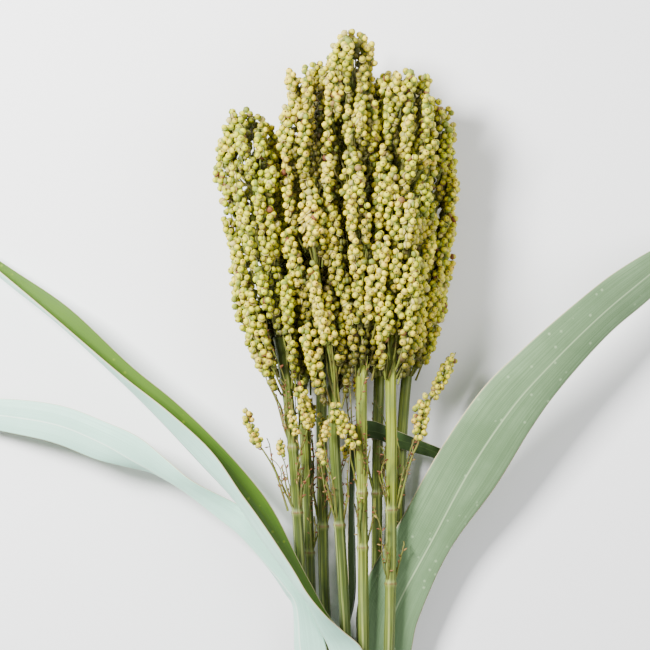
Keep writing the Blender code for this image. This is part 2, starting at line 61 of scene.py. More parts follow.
# The lines and sizes of the CAD, in metres
STALK_RADIUS = 3.6 * MM
RACHIS_RADIUS = 2.6 * MM
RACEME_RADIUS = 5.9 * MM
RACEME_BUMP = 0.25
FLOOR_SINK = 0.6
CLEARANCE = 0.4 * MM
CUT_END_Y = -287.5 * MM
TIE_Y = -240 * MM
STATIONS_Y = (CUT_END_Y, TIE_Y, -117 * MM, 12 * MM, 65 * MM, 156 * MM)
RACEMES_PER_HEAD = 11
RACEMES_AT_BASE = 3
LONGEST_RACEME = 66 * MM
SHORTEST_RACEME = 36 * MM
GOLDEN_ANGLE = math.radians(137.5)
SHEATH_HALF_ARC = math.radians(146)
SHEATH_RADII = (4.6 * MM, 4.6 * MM, 4.65 * MM, 5.2 * MM)
LEAF_BOW = 0.05

# How much paler and yellower than the rest some stalks are, 0 to 1
BRIGHTNESS = {"front_left": 0.12, "front_mid_left": 0.08, "front_mid_right": 0.75, "front_right": 0.7,
              "back_left": 0.2, "back_mid_left": 0.2, "back_mid_right": 0.2, "back_right": 0.2}

# How far up into its head a stalk is seen from above, between the racemes
BARE_FOOT = {"front_left": 38 * MM, "front_mid_left": 40 * MM, "front_mid_right": 7 * MM,
             "front_right": 29 * MM}

# How sharply a head's top is rounded, where it isn't as the others are
SHARP_TOP = {"front_left": 60.0}

# Half the width of a seed, and the least distance between two
SEED_RADIUS = 2.36 * MM
SEED_SPACING = 3.6 * MM

# The most that a seed or husk is turned about its own axis, in radians
MOST_TURN = 6.28

# The Y axis, up the bunch
UP_BUNCH = Vector((0, 1, 0))

# How strongly plant skin and the rest reflect, on the shader's own scale
SPECULAR_LEVEL = 0.28


def smooth_value(knots: Sequence[float], values: Sequence[float], at: float) -> float:
    """Reads a smooth curve through uneven knots.

    Args:
        knots: Places along the curve, rising.
        values: The value at each knot.
        at: The place to read, held between the first and last knot.

    Returns:
        The value there.
    """
    last = len(knots) - 1
    at = min(max(at, knots[0]), knots[-1])
    i = max(k for k in range(last) if knots[k] <= at)
    span = knots[i + 1] - knots[i]

    def slope(k: int) -> float:
        """The slope of the curve at a knot."""
        before, after = max(k - 1, 0), min(k + 1, last)
        return (values[after] - values[before]) / (knots[after] - knots[before])

    t = (at - knots[i]) / span
    return (values[i] * (1 + 2 * t) * (1 - t) ** 2 + values[i + 1] * t * t * (3 - 2 * t)
            + span * slope(i) * t * (1 - t) ** 2 - span * slope(i + 1) * t * t * (1 - t))


def smooth_point(points: Sequence[Sequence[float]], share: float) -> Vector:
    """Reads a smooth curve through evenly counted points.

    Args:
        points: The points of the curve.
        share: How far along it, 0 to 1.

    Returns:
        The point there.
    """
    knots = [i / (len(points) - 1) for i in range(len(points))]
    return Vector([smooth_value(knots, [p[axis] for p in points], share) for axis in range(3)])


def angle_round(axis: Vector, place: Vector) -> float:
    """The direction of a place from a line along the bunch, round that line from +X."""
    return math.atan2(place.z - axis.z, place.x - axis.x)


def length_of(points: Sequence[Vector]) -> float:
    """The length of the straight steps through some points."""
    return sum((b - a).length for a, b in zip(points, points[1:]))


def anywhere(_: Vector) -> bool:
    """Lets a seed stand at any point."""
    return True


@dataclass(frozen=True)
class StalkLine:
    """The line of one stalk and its head. across and height are X and Z in mm at the stations and the top."""

    name: str
    across: tuple
    height: tuple
    base_y: float
    top_y: float
    fullness: float
    whorls: tuple
    seed: int
    green: float

    def at(self, y: float) -> Vector:
        """The centre of the stalk, or of its head's rachis, at a place along the bunch."""
        knots = STATIONS_Y + (self.top_y,)
        return Vector((smooth_value(knots, self.across, y) * MM, y, smooth_value(knots, self.height, y) * MM))

    def keep_in_cell(self, point: Vector, radius: float) -> Vector:
        """Moves a point so that a round piece there stays on this stalk's side of its neighbours.

        Args:
            point: The middle of the round piece.
            radius: How far the piece reaches.

        Returns:
            The point, moved where it has to be, and over the surface.
        """
        own = self.at(point.y)
        for other in STALK_LINES:
            if other is self or point.y > other.top_y + radius:
                continue
            away = other.at(point.y) - own
            room = away.length / 2 - CLEARANCE - radius
            away.normalize()
            over = (point - own).dot(away) - room
            if over > 0:
                point = point - away * over
        return Vector((point.x, point.y, max(point.z, radius * FLOOR_SINK)))

    def width_at(self, y: float) -> float:
        """How far the head's racemes reach from its rachis at a place along the bunch."""
        share = (y - self.base_y) / (self.top_y - self.base_y)
        profile = smooth_value((0, 0.15, 0.45, 0.8, 1), (0.72, 0.94, 1, 0.88, 0.52), share)
        return (self.fullness - RACEME_RADIUS) * profile

    def raceme_spines(self) -> list:
        """The spines of the head's racemes in the CAD, each six points, and one on the rachis's own tip."""
        draw = random.Random(self.seed)
        length = self.top_y - self.base_y
        spines = []
        for i in range(RACEMES_PER_HEAD - 1):
            share = max(0, i + 1 - RACEMES_AT_BASE) / (RACEMES_PER_HEAD - RACEMES_AT_BASE)
            node_y = self.base_y + length * 0.82 * share
            reach = LONGEST_RACEME + (SHORTEST_RACEME - LONGEST_RACEME) * share
            reach = min(reach * draw.uniform(0.9, 1.1), self.top_y - 2 * MM - node_y)
            turn = i * GOLDEN_ANGLE + draw.uniform(-0.25, 0.25)
            out = Vector((math.cos(turn), 0, math.sin(turn)))
            spread = self.fullness * draw.uniform(0.94, 1.05) - RACEME_RADIUS
            spread /= self.fullness - RACEME_RADIUS
            spine = []
            for step in range(6):
                along = step / 5
                y = node_y + reach * along
                width = spread * self.width_at(y) * min(1, 0.3 + along / 0.45)
                radius = RACEME_RADIUS * (1 + RACEME_BUMP) if along > 0.15 else RACHIS_RADIUS
                spine.append(self.keep_in_cell(self.at(y) + out * width, radius))
            spines.append(spine)
        tip = [self.at(self.top_y - SHORTEST_RACEME * 1.2 * (1 - step / 5)) for step in range(6)]
        spines.append([self.keep_in_cell(point, RACEME_RADIUS * (1 + RACEME_BUMP)) for point in tip])
        return spines


STALK_LINES = (
    StalkLine("front_left", (3.5, 4.0, -12.4, -20.8, -26.6, -43.6, -52.0), (15.5, 15.5, 28, 39, 44, 50, 48),
              48 * MM, 237.5 * MM, 24.5 * MM, (14 * MM, -29 * MM), 11, 0.8),
    StalkLine("front_mid_left", (14.0, 14.5, 13.7, 6.5, 3.9, -8.0, -13.0), (15.5, 15.5, 28, 42, 49, 58, 58),
              42 * MM, 262 * MM, 21.5 * MM, (-37 * MM,), 23, 0.15),
    StalkLine("front_mid_right", (25.0, 25.2, 25.4, 24.0, 23.4, 19.5, 16.0), (15.5, 15.5, 28, 42, 50, 60, 57),
              61 * MM, 287.5 * MM, 21.5 * MM, (-16 * MM, -52 * MM), 37, 0.3),
    StalkLine("front_right", (35.0, 35.5, 42.3, 43.6, 42.9, 48.0, 53.0), (15.5, 15.5, 28, 42, 48, 55, 53),
              59 * MM, 262 * MM, 22.5 * MM, (-27 * MM, -76 * MM), 41, 0.45),
    StalkLine("back_left", (8.8, 9.3, -7.5, -13.0, -17.0, -25.4, -29.0), (6.3, 6.3, 7.6, 13, 16, 19.5, 20),
              50 * MM, 222 * MM, 20 * MM, (-58 * MM,), 53, 0.6),
    StalkLine("back_mid_left", (19.3, 19.8, 1.6, -2.0, -2.0, 3.0, 2.0), (6.3, 6.3, 12, 17, 18.5, 19.5, 21),
              60 * MM, 274 * MM, 20.5 * MM, (-40 * MM,), 67, 0.3),
    StalkLine("back_mid_right", (29.8, 30.3, 33.8, 35.0, 36.0, 35.8, 40.0), (6.3, 6.3, 11, 16, 18, 19.5, 21),
              60 * MM, 264 * MM, 20.5 * MM, (-18 * MM,), 71, 0.35),
    StalkLine("back_right", (40.3, 40.8, 46.5, 51.0, 55.0, 68.5, 71.0), (6.3, 6.3, 10, 14, 17, 21, 24),
              60 * MM, 245 * MM, 18.5 * MM, (), 97, 0.5),
)
LINE_OF = {line.name: line for line in STALK_LINES}


@dataclass(frozen=True)
class LooseLine:
    """A raceme that hangs clear of its head: the points of its branch in mm, and where its seeds begin."""

    name: str
    points: tuple
    seeds_from: float
    radius: float


LOOSE_LINES = (
    LooseLine("loose_raceme_left", ((-24.3, -28, 36.5), (-28, -16, 37.5), (-33, -1, 38), (-40, 11, 38.5),
              (-45, 18, 38.5), (-49, 29, 38), (-52, 40, 38)), 0.6, 3.6 * MM),
    LooseLine("loose_raceme_right", ((48.3, -26, 39), (52, -10, 40), (57, 8, 41), (61, 17, 42),
              (62.5, 27, 42), (63, 38, 42), (68, 49, 42)), 0.55, 4.6 * MM),
    LooseLine("loose_raceme_far_right", ((48.3, -14, 37), (55, 8, 34.5), (62, 28, 34), (69, 44, 34),
              (75, 55, 34), (80, 66, 34), (86, 76, 34)), 0.55, 4.0 * MM),
    LooseLine("loose_raceme_middle", ((24, -3, 46.3), (24, 5, 50), (22, 13, 53), (17, 21, 55),
              (12, 28, 56), (8, 36, 57), (5.5, 44, 57)), 0.4, 4.6 * MM),
    LooseLine("loose_raceme_inner", ((-16, 12, 41), (-12.5, 21, 43), (-11.5, 29, 45), (-12, 37, 47),
              (-14, 44, 49), (-16, 51, 51), (-17, 58, 52)), 0.3, 3.9 * MM),
)


@dataclass(frozen=True)
class LeafLine:
    """A leaf. Its sheath wraps the named stalk over sheath_y, open on the side that it faces.

    A row of the blade holds one margin, the midrib and the other margin, each as x, y, z in mm.
    """

    name: str
    stalk: str
    sheath_y: tuple
    sheath_faces: tuple
    rows: tuple

    def grid(self, rows: int, columns: int) -> list:
        """The middle of the leaf's sheet.

        Args:
            rows: Steps from the sheath's foot to the tip.
            columns: Steps from margin to margin, an even number.

        Returns:
            Rows of points.
        """
        line = LINE_OF[self.stalk]
        faces = Vector(self.sheath_faces).normalized()
        low, high = self.sheath_y
        given = [self.sheath_row(line, low + (high - low) * step / 3, faces, radius, columns)
                 for step, radius in enumerate(SHEATH_RADII)]
        midribs = [row[columns // 2] for row in given] + [Vector(row[1]) * MM for row in self.rows]
        for i, row in enumerate(self.rows, start=4):
            ahead = midribs[min(i + 1, len(midribs) - 1)] - midribs[i - 1]
            given.append(self.blade_row(row, ahead, columns))
        lines = [[row[k] for row in given] for k in range(columns + 1)]
        return [[smooth_point(points, i / rows) for points in lines] for i in range(rows + 1)]

    @staticmethod
    def sheath_row(line: StalkLine, y: float, faces: Vector, radius: float, columns: int) -> list:
        """Points round a stalk, from one edge of the sheath by its midrib to the other edge."""
        across = UP_BUNCH.cross(faces)
        angles = [SHEATH_HALF_ARC * (2 * k / columns - 1) for k in range(columns + 1)]
        return [line.at(y) + (across * math.sin(angle) - faces * math.cos(angle)) * radius
                for angle in angles]

    @staticmethod
    def blade_row(row: tuple, ahead: Vector, columns: int) -> list:
        """Points from one margin by the midrib to the other, bowed a little towards the underside."""
        minus, midrib, plus = (Vector(point) * MM for point in row)
        under = ahead.cross(plus - minus).normalized()
        points = []
        for k in range(columns + 1):
            share = 2 * k / columns - 1
            reach = (plus if share > 0 else minus) - midrib
            part = abs(share)
            points.append(midrib + reach * part + under * (LEAF_BOW * reach.length * 4 * part * (1 - part)))
        return points


LEAF_LINES = (
    LeafLine("leaf_left_folded", "front_mid_left", (-222 * MM, -162 * MM), (1, 0, 0.1), (
        ((21, -142, 34), (7, -142, 26.5), (16, -144, 15.5)),
        ((25, -120.5, 36.5), (3.5, -120, 32), (13.5, -124.5, 20)),
        ((11.5, -105.5, 46), (-3.5, -105, 36.5), (10, -109, 25.5)),
        ((0, -94, 55), (-10.5, -89.5, 42.5), (0.5, -94, 35.5)),
        ((-11.5, -79.5, 59), (-18.5, -77.5, 46), (-8.5, -77, 39.5)),
        ((-21.5, -62.5, 61), (-26.5, -66, 48), (-17.5, -59.5, 42.5)),
        ((-40, -34, 64), (-45, -40, 50), (-32, -29.5, 44.5)),
        ((-54, -14.5, 65), (-59, -19.5, 51), (-46, -9, 46)),
        ((-73.5, 13, 64), (-82, 5.5, 52), (-69.5, 17.5, 47)),
        ((-101.5, 38.5, 63), (-108, 33, 50), (-97.5, 44, 46)),
        ((-132, 62, 59), (-135.5, 59.5, 46), (-127.5, 68, 42)),
        ((-173.5, 96.5, 49), (-176, 95.5, 37), (-168, 105, 33)),
        ((-208.5, 124.5, 33), (-212, 123, 24), (-206, 130, 20)),
        ((-239.5, 148.5, 16), (-241.5, 148, 12), (-239.5, 151.5, 10)),
        ((-262.4, 167.6, 5), (-262.9, 167, 4.7), (-262.4, 168, 4.5)),
    )),
    LeafLine("leaf_left_pale", "front_left", (-212 * MM, -152 * MM), (0.75, 0, -0.66), (
        ((1.5, -137.5, 29.5), (-12, -137, 33), (-16.5, -141, 21.5)),
        ((1.5, -121.5, 31), (-16, -119.5, 34), (-20, -123.5, 22.5)),
        ((-6.5, -90.5, 34.5), (-18.5, -91, 37), (-21, -93.5, 26.5)),
        ((-17, -68, 36.3), (-25.5, -78.5, 38.3), (-26.5, -83, 27)),
        ((-29, -50.5, 36.5), (-40, -61.5, 38), (-39, -64.5, 27)),
        ((-44, -32, 36.5), (-56.5, -43.5, 38), (-55, -45.5, 27)),
        ((-60.5, -22, 36.5), (-69.5, -33, 38), (-68, -34, 27)),
        ((-86, -8, 45), (-92.5, -15, 37), (-91, -16.5, 26)),
        ((-104, 6.5, 43), (-112.5, -2.5, 36), (-113, -4.5, 25)),
        ((-122, 20.5, 38), (-129, 6.5, 35), (-132, 0.5, 28)),
        ((-143.5, 30, 34), (-147.5, 16.5, 33), (-151.5, 5.5, 29)),
        ((-175, 41, 28), (-177, 28, 28), (-180.5, 16.5, 26)),
        ((-214.5, 45, 19), (-216, 34, 19), (-218, 24, 17)),
        ((-246.5, 42.5, 11), (-247, 36, 11), (-248, 30, 9)),
        ((-261, 36.8, 5), (-261.5, 36.3, 4.7), (-261.5, 35.8, 4.5)),
    )),
    LeafLine("leaf_right", "back_mid_right", (-221 * MM, -161 * MM), (0.1, 0, -0.99), (
        ((49, -144, 18), (38, -143, 21), (26, -142, 17.5)),
        ((57, -123, 20), (40.5, -121.5, 21), (21, -115, 20.5)),
        ((62.5, -99.5, 22), (47.5, -93.5, 22.5), (24, -82.5, 21.5)),
        ((82.5, -55, 25), (70.5, -49, 26.5), (49, -37, 25.5)),
        ((112.5, -12.5, 30), (95, -2, 33), (74.5, 10, 33)),
        ((135, 25.5, 36), (120.5, 37, 39.5), (102, 51, 40)),
        ((154.5, 53, 38), (143, 63.5, 43), (128, 77.5, 44)),
        ((185, 87, 37), (175.5, 96, 43), (163.5, 108.5, 45)),
        ((211.5, 109, 30), (203, 119, 36), (192, 130, 39)),
        ((240, 133, 19), (233, 141, 23), (226.5, 148.5, 25)),
        ((263, 156.5, 6), (262.8, 157, 5.7), (262.3, 157.5, 5.5)),
    )),
    LeafLine("leaf_back", "back_mid_left", (-214 * MM, -167 * MM), (-1, 0, 0), (
        ((8, -150, 3.8), (11.7, -150, 11), (4.8, -149, 17.2)),
        ((11.5, -136, 5.5), (10.4, -135, 12.8), (6.5, -133, 18.8)),
        ((13.5, -116.5, 9.5), (12.5, -116, 15.5), (8.5, -113.5, 20.5)),
        ((20, -89.5, 11.5), (18.5, -87, 17.5), (15, -84.5, 22.3)),
        ((20.5, -62.5, 14.5), (18.5, -59.5, 20.5), (15, -57, 25)),
        ((19.5, -29, 18.5), (18, -28.5, 24.5), (15.5, -28, 29)),
        ((20.5, 1, 22.5), (19, 3.5, 28), (16.5, 6.5, 32)),
        ((25, 17.5, 25), (22, 22, 30), (18.5, 27, 33)),
        ((34.5, 18.5, 26), (32.5, 24, 30), (30.5, 31, 32)),
        ((47.5, 13, 23.5), (48, 18.5, 27), (48, 24, 29)),
        ((61, 9, 21), (63, 14, 24), (64, 17.5, 26)),
        ((72.5, 5.5, 18.5), (75, 9, 21), (77, 12, 22.5)),
        ((90.5, -2.5, 14.5), (92.5, 0.5, 15.5), (94.5, 3.5, 16.5)),
        ((110, -9, 8), (110.5, -8.5, 8), (111, -8, 8)),
    )),
)


class Graph:
    """A node tree, with short ways to add its nodes and to join them."""

    def __init__(self, tree: bpy.types.NodeTree) -> None:
        """Takes the tree that the nodes go into."""
        self.tree = tree

    def feed(self, node: bpy.types.Node, inputs: dict) -> bpy.types.Node:
        """Sets inputs of a node.

        Args:
            node: The node.
            inputs: For an input's name or number, a value or the output that feeds it.

        Returns:
            The node.
        """
        for name, value in inputs.items():
            if isinstance(value, bpy.types.NodeSocket):
                self.tree.links.new(value, node.inputs[name])
            else:
                node.inputs[name].default_value = value
        return node

    def add(self, kind: str, inputs: dict | None = None, **settings: object) -> bpy.types.Node:
        """Adds one node.

        Args:
            kind: The node's Blender type, without its ShaderNode prefix.
            inputs: Its inputs, as feed takes them.
            settings: The node's own properties.

        Returns:
            The node.
        """
        node = self.tree.nodes.new("ShaderNode" + kind)
        for name, value in settings.items():
            setattr(node, name, value)
        return self.feed(node, inputs or {})

    def attribute(self, name: str) -> bpy.types.NodeSocket:
        """A number that the mesh carries under this name."""
        return self.add("Attribute", attribute_name=name).outputs["Fac"]

    def mix(self, share: object, first: object, second: object) -> bpy.types.NodeSocket:
        """Mixes two colours by a share, each given as a value or an output."""
        return self.add("Mix", {0: share, 6: first, 7: second}, data_type="RGBA").outputs[2]

    def calc(self, kind: str, first: object, second: object = 0.0) -> bpy.types.NodeSocket:
        """One step of arithmetic, such as MULTIPLY, on values or outputs."""
        return self.add("Math", {0: first, 1: second}, operation=kind).outputs[0]

    def range(self, value: object, low: float, high: float, to_low: float = 0.0,
              to_high: float = 1.0) -> bpy.types.NodeSocket:
        """Maps a value from one range to another, and holds it inside."""
        return self.add("MapRange", {0: value, 1: low, 2: high, 3: to_low, 4: to_high}).outputs[0]

    def ramp(self, value: object, stops: Sequence[tuple]) -> bpy.types.NodeSocket:
        """A colour ramp through stops of place and colour."""
        node = self.add("ValToRGB", {0: value})
        elements = node.color_ramp.elements
        elements[0].position, elements[0].color = stops[0]
        elements[1].position, elements[1].color = stops[-1]
        for place, colour in stops[1:-1]:
            elements.new(place).color = colour
        return node.outputs[0]

    def place_on_object(self) -> bpy.types.NodeSocket:
        """The point's place on the object, in metres."""
        return self.add("TexCoord").outputs["Object"]

    def place_on_sheet(self) -> bpy.types.NodeSocket:
        """The point's place on the piece's own UV map."""
        return self.add("UVMap", uv_map="UVMap").outputs[0]

    def along(self) -> bpy.types.NodeSocket:
        """How far up the bunch the point is, in metres."""
        return self.add("SeparateXYZ", {0: self.place_on_object()}).outputs[1]

    def grain(self, scale: float, detail: float = 2.0, swirl: float = 0.0) -> bpy.types.NodeSocket:
        """Fine even unevenness, as a value about a half."""
        return self.add("TexNoise", {"Vector": self.place_on_object(), "Scale": scale, "Detail": detail,
                                     "Distortion": swirl}).outputs[0]


def new_group(name: str, inputs: Sequence[tuple], outputs: Sequence[tuple]) -> tuple:
    """Starts a shader node group.

    Args:
        name: The group's name.
        inputs: The name, socket type and default value of each input.
        outputs: The name and socket type of each output.

    Returns:
        The group's graph, the outputs of its input node, and its output node.
    """
    group = bpy.data.node_groups.new(name, "ShaderNodeTree")
    for label, kind, value in inputs:
        group.interface.new_socket(label, in_out="INPUT", socket_type=kind).default_value = value
    for label, kind in outputs:
        group.interface.new_socket(label, in_out="OUTPUT", socket_type=kind)
    return Graph(group), group.nodes.new("NodeGroupInput").outputs, group.nodes.new("NodeGroupOutput")


class SharedEffects:
    """The node groups that more than one finish uses, each made once."""

    def __init__(self) -> None:
        """Makes the groups."""
        self.mottle = self.make_mottle()
        self.fibres = self.make_fibres()
        self.flecks = self.make_flecks()

    @staticmethod
    def make_mottle() -> bpy.types.NodeTree:
        """Soft patches of a second colour, as plant skin has."""
        graph, given, out = new_group(
            "plant_mottle",
            [("Colour", "NodeSocketColor", (0.5, 0.5, 0.5, 1)),
             ("Second", "NodeSocketColor", (0.4, 0.4, 0.4, 1)),
             ("Scale", "NodeSocketFloat", 200.0), ("Amount", "NodeSocketFloat", 0.5)],
            [("Colour", "NodeSocketColor")])
        noise = graph.add("TexNoise", {"Vector": graph.place_on_object(), "Scale": given["Scale"],
                                       "Detail": 4.0, "Roughness": 0.6})
        mask = graph.calc("MULTIPLY", graph.range(noise.outputs[0], 0.35, 0.68), given["Amount"])
        graph.feed(out, {"Colour": graph.mix(mask, given["Colour"], given["Second"])})
        return graph.tree

    @staticmethod
    def make_fibres() -> bpy.types.NodeTree:
        """Fine lines that run along a piece, and wander a little, from its UV map."""
        graph, given, out = new_group(
            "lengthwise_fibres",
            [("Across", "NodeSocketFloat", 60.0), ("Along", "NodeSocketFloat", 3.0),
             ("Wander", "NodeSocketFloat", 0.3)],
            [("Lines", "NodeSocketFloat"), ("Streaks", "NodeSocketFloat")])
        split = graph.add("SeparateXYZ", {0: graph.place_on_sheet()})
        across = graph.calc("MULTIPLY", split.outputs[0], given["Across"])
        along = graph.calc("MULTIPLY", split.outputs[1], given["Along"])
        place = graph.add("CombineXYZ", {0: across, 1: along}).outputs[0]
        streak = graph.add("TexNoise", {"Vector": place, "Scale": 0.6, "Detail": 3.0, "Roughness": 0.55})
        wander = graph.calc("MULTIPLY", streak.outputs[0], given["Wander"])
        turned = graph.calc("MULTIPLY", graph.calc("ADD", across, wander), 2 * math.pi)
        lines = graph.range(graph.calc("SINE", turned), -1.0, 1.0)
        graph.feed(out, {"Lines": lines, "Streaks": streak.outputs[0]})
        return graph.tree

    @staticmethod
    def make_flecks() -> bpy.types.NodeTree:
        """Small scattered spots of another colour, as rust and dry tissue make."""
        graph, given, out = new_group(
            "plant_flecks",
            [("Colour", "NodeSocketColor", (0.5, 0.5, 0.5, 1)),
             ("Fleck", "NodeSocketColor", (0.3, 0.1, 0.05, 1)),
             ("Scale", "NodeSocketFloat", 300.0), ("Share", "NodeSocketFloat", 0.2)],
            [("Colour", "NodeSocketColor"), ("Mask", "NodeSocketFloat")])
        cells = graph.add("TexVoronoi", {"Vector": graph.place_on_object(), "Scale": given["Scale"]})
        near = graph.range(cells.outputs["Distance"], 0.32, 0.12)
        chosen = graph.add("SeparateColor", {0: cells.outputs["Color"]}).outputs[0]
        mask = graph.calc("MULTIPLY", near, graph.calc("LESS_THAN", chosen, given["Share"]))
        graph.feed(out, {"Colour": graph.mix(mask, given["Colour"], given["Fleck"]), "Mask": mask})
        return graph.tree


class Skin(Graph):
    """The graph of one material, which ends in its Principled shader."""

    def __init__(self, name: str, roughness: float, effects: SharedEffects) -> None:
        """Starts the material.

        Args:
            name: Its name.
            roughness: Its even roughness, where no node feeds it.
            effects: The shared node groups.
        """
        self.material = bpy.data.materials.new(name)
        self.material.use_nodes = True
        super().__init__(self.material.node_tree)
        self.effects = effects
        self.shader = self.tree.nodes["Principled BSDF"]
        self.feed(self.shader, {"Roughness": roughness, "Specular IOR Level": SPECULAR_LEVEL})

    def mottled(self, colour: object, second: object, scale: float, amount: float) -> bpy.types.NodeSocket:
        """The colour with soft patches of a second one."""
        return self.add("Group", {"Colour": colour, "Second": second, "Scale": scale, "Amount": amount},
                        node_tree=self.effects.mottle).outputs["Colour"]

    def flecked(self, colour: object, fleck: object, scale: float, share: float) -> tuple:
        """The colour with small spots of another one, and the mask of the spots."""
        node = self.add("Group", {"Colour": colour, "Fleck": fleck, "Scale": scale, "Share": share},
                        node_tree=self.effects.flecks)
        return node.outputs["Colour"], node.outputs["Mask"]

    def fibrous(self, across: float, along: float, wander: float) -> tuple:
        """The fine lines and the broader streaks of fibres along the piece, each as a value."""
        node = self.add("Group", {"Across": across, "Along": along, "Wander": wander},
                        node_tree=self.effects.fibres)
        return node.outputs["Lines"], node.outputs["Streaks"]

    def finished(self, colour: bpy.types.NodeSocket, roughness: bpy.types.NodeSocket | None = None,
                 relief: bpy.types.NodeSocket | None = None, depth: float = 0.0,
                 strength: float = 1.0) -> bpy.types.Material:
        """Feeds the shader.

        Args:
            colour: The colour over the surface.
            roughness: The roughness over the surface, where it varies.
            relief: The height over the surface, where it isn't smooth.
            depth: What a relief of 1 stands for, in metres.
            strength: How much of the relief shows.

        Returns:
            The material.
        """
        inputs = {"Base Color": colour}
        if roughness is not None:
            inputs["Roughness"] = roughness
        if relief is not None:
            bump = self.add("Bump", {"Height": relief, "Distance": depth, "Strength": strength})
            inputs["Normal"] = bump.outputs[0]
        self.feed(self.shader, inputs)
        return self.material


@dataclass(frozen=True)
class SeedFinish:
    """Unripe sorghum seeds: cream to yellow-green, with painted shade towards the cup and deeper inside the
    heads, and a dark dot at the tip.
    """

    cream: tuple = (0.90, 0.72, 0.04, 1)
    fresh: tuple = (0.60, 0.64, 0.0, 1)
    # shade: a darker tone for some seeds and patches, and the painted shade towards each seed's cup
    shade: tuple = (0.14, 0.15, 0.008, 1)
    blush: tuple = (0.42, 0.17, 0.05, 1)
    rust: tuple = (0.42, 0.06, 0.015, 1)
    tan: tuple = (0.62, 0.40, 0.05, 1)
    painted_shade: tuple = (0.018, 0.02, 0.004, 1)
    dot: tuple = (0.07, 0.03, 0.015, 1)

    def material(self, effects: SharedEffects) -> bpy.types.Material:
        """Makes the finish."""
        skin = Skin("seed_skin", 0.45, effects)
        tone, rise, fine = skin.attribute("tone"), skin.attribute("rise"), skin.grain(1500.0)
        fresh = skin.mix(skin.attribute("green"), self.cream, self.fresh)
        low_down = skin.calc("MULTIPLY", skin.range(skin.along(), 0.12, 0.04, 0.0, 0.5),
                             skin.range(tone, 0.2, 0.7))
        ripened = skin.mix(low_down, fresh, self.tan)
        uneven = skin.mix(skin.range(tone, 0.0, 0.45, 0.5, 0.0), ripened, self.shade)
        patched = skin.mottled(uneven, self.shade, 420.0, 0.28)
        # Painted shade: each seed darkens from a little above its cup downwards
        cup_painted_shade = skin.mix(skin.range(rise, 0.45, -0.4, 0.0, 0.8), patched, self.shade)
        warmth = skin.calc("MULTIPLY", skin.range(tone, 0.8, 0.95), skin.range(rise, -0.1, 0.9))
        warm = skin.mix(skin.calc("MULTIPLY", warmth, 0.3), cup_painted_shade, self.blush)
        spotted, _ = skin.flecked(warm, self.rust, 560.0, 0.1)
        smudge = skin.calc("MULTIPLY", skin.range(rise, 0.55, 1.0, 0.0, 0.5), skin.range(fine, 0.45, 0.62))
        smudged = skin.mix(smudge, spotted, self.blush)
        dotted = skin.mix(skin.range(rise, 0.93, 0.98), smudged, self.dot)
        # Painted shade: seeds that stand deeper inside the mass of heads are darkened towards near black
        shaded = skin.mix(skin.range(skin.attribute("depth"), 0.08, 0.75, 0.0, 0.88), dotted, self.painted_shade)
        return skin.finished(shaded, skin.range(fine, 0.3, 0.7, 0.36, 0.56), fine, 0.06 * MM, 0.6)


@dataclass(frozen=True)
class HuskFinish:
    """The dry scales that hold a seed, or stand empty: olive, straw or rust red, with painted shade deeper
    inside the heads.
    """

    olive: tuple = (0.20, 0.24, 0.03, 1)
    straw: tuple = (0.54, 0.46, 0.13, 1)
    rust: tuple = (0.17, 0.055, 0.022, 1)
    painted_shade: tuple = (0.02, 0.018, 0.006, 1)

    def material(self, effects: SharedEffects) -> bpy.types.Material:
        """Makes the finish."""
        skin = Skin("husk_scale", 0.55, effects)
        fine = skin.grain(1800.0)
        kind = skin.ramp(skin.attribute("husk"), [(0.0, self.olive), (0.45, self.olive), (0.6, self.straw),
                                                  (0.78, self.straw), (0.9, self.rust)])
        spotted, _ = skin.flecked(kind, self.rust, 620.0, 0.22)
        # Painted shade: husks that stand deeper inside the mass of heads are darkened towards near black
        shaded = skin.mix(skin.range(skin.attribute("depth"), 0.1, 0.9, 0.0, 0.85), spotted, self.painted_shade)
        return skin.finished(shaded, skin.range(fine, 0.3, 0.7, 0.48, 0.66), fine, 0.08 * MM, 0.6)


@dataclass(frozen=True)
class TwigFinish:
    """The thin branches inside and below the heads: yellow-green to grey-green, rusty in places."""

    green: tuple = (0.16, 0.20, 0.02, 1)
    grey: tuple = (0.07, 0.095, 0.022, 1)
    rust: tuple = (0.13, 0.045, 0.02, 1)

    def material(self, effects: SharedEffects) -> bpy.types.Material:
        """Makes the finish."""
        skin = Skin("twig_skin", 0.55, effects)
        fine = skin.grain(1600.0)
        patched = skin.mottled(self.green, self.grey, 90.0, 0.9)
        rusty = skin.mottled(patched, self.rust, 140.0, 0.55)
        return skin.finished(rusty, skin.range(fine, 0.3, 0.7, 0.45, 0.65), fine, 0.08 * MM, 0.5)


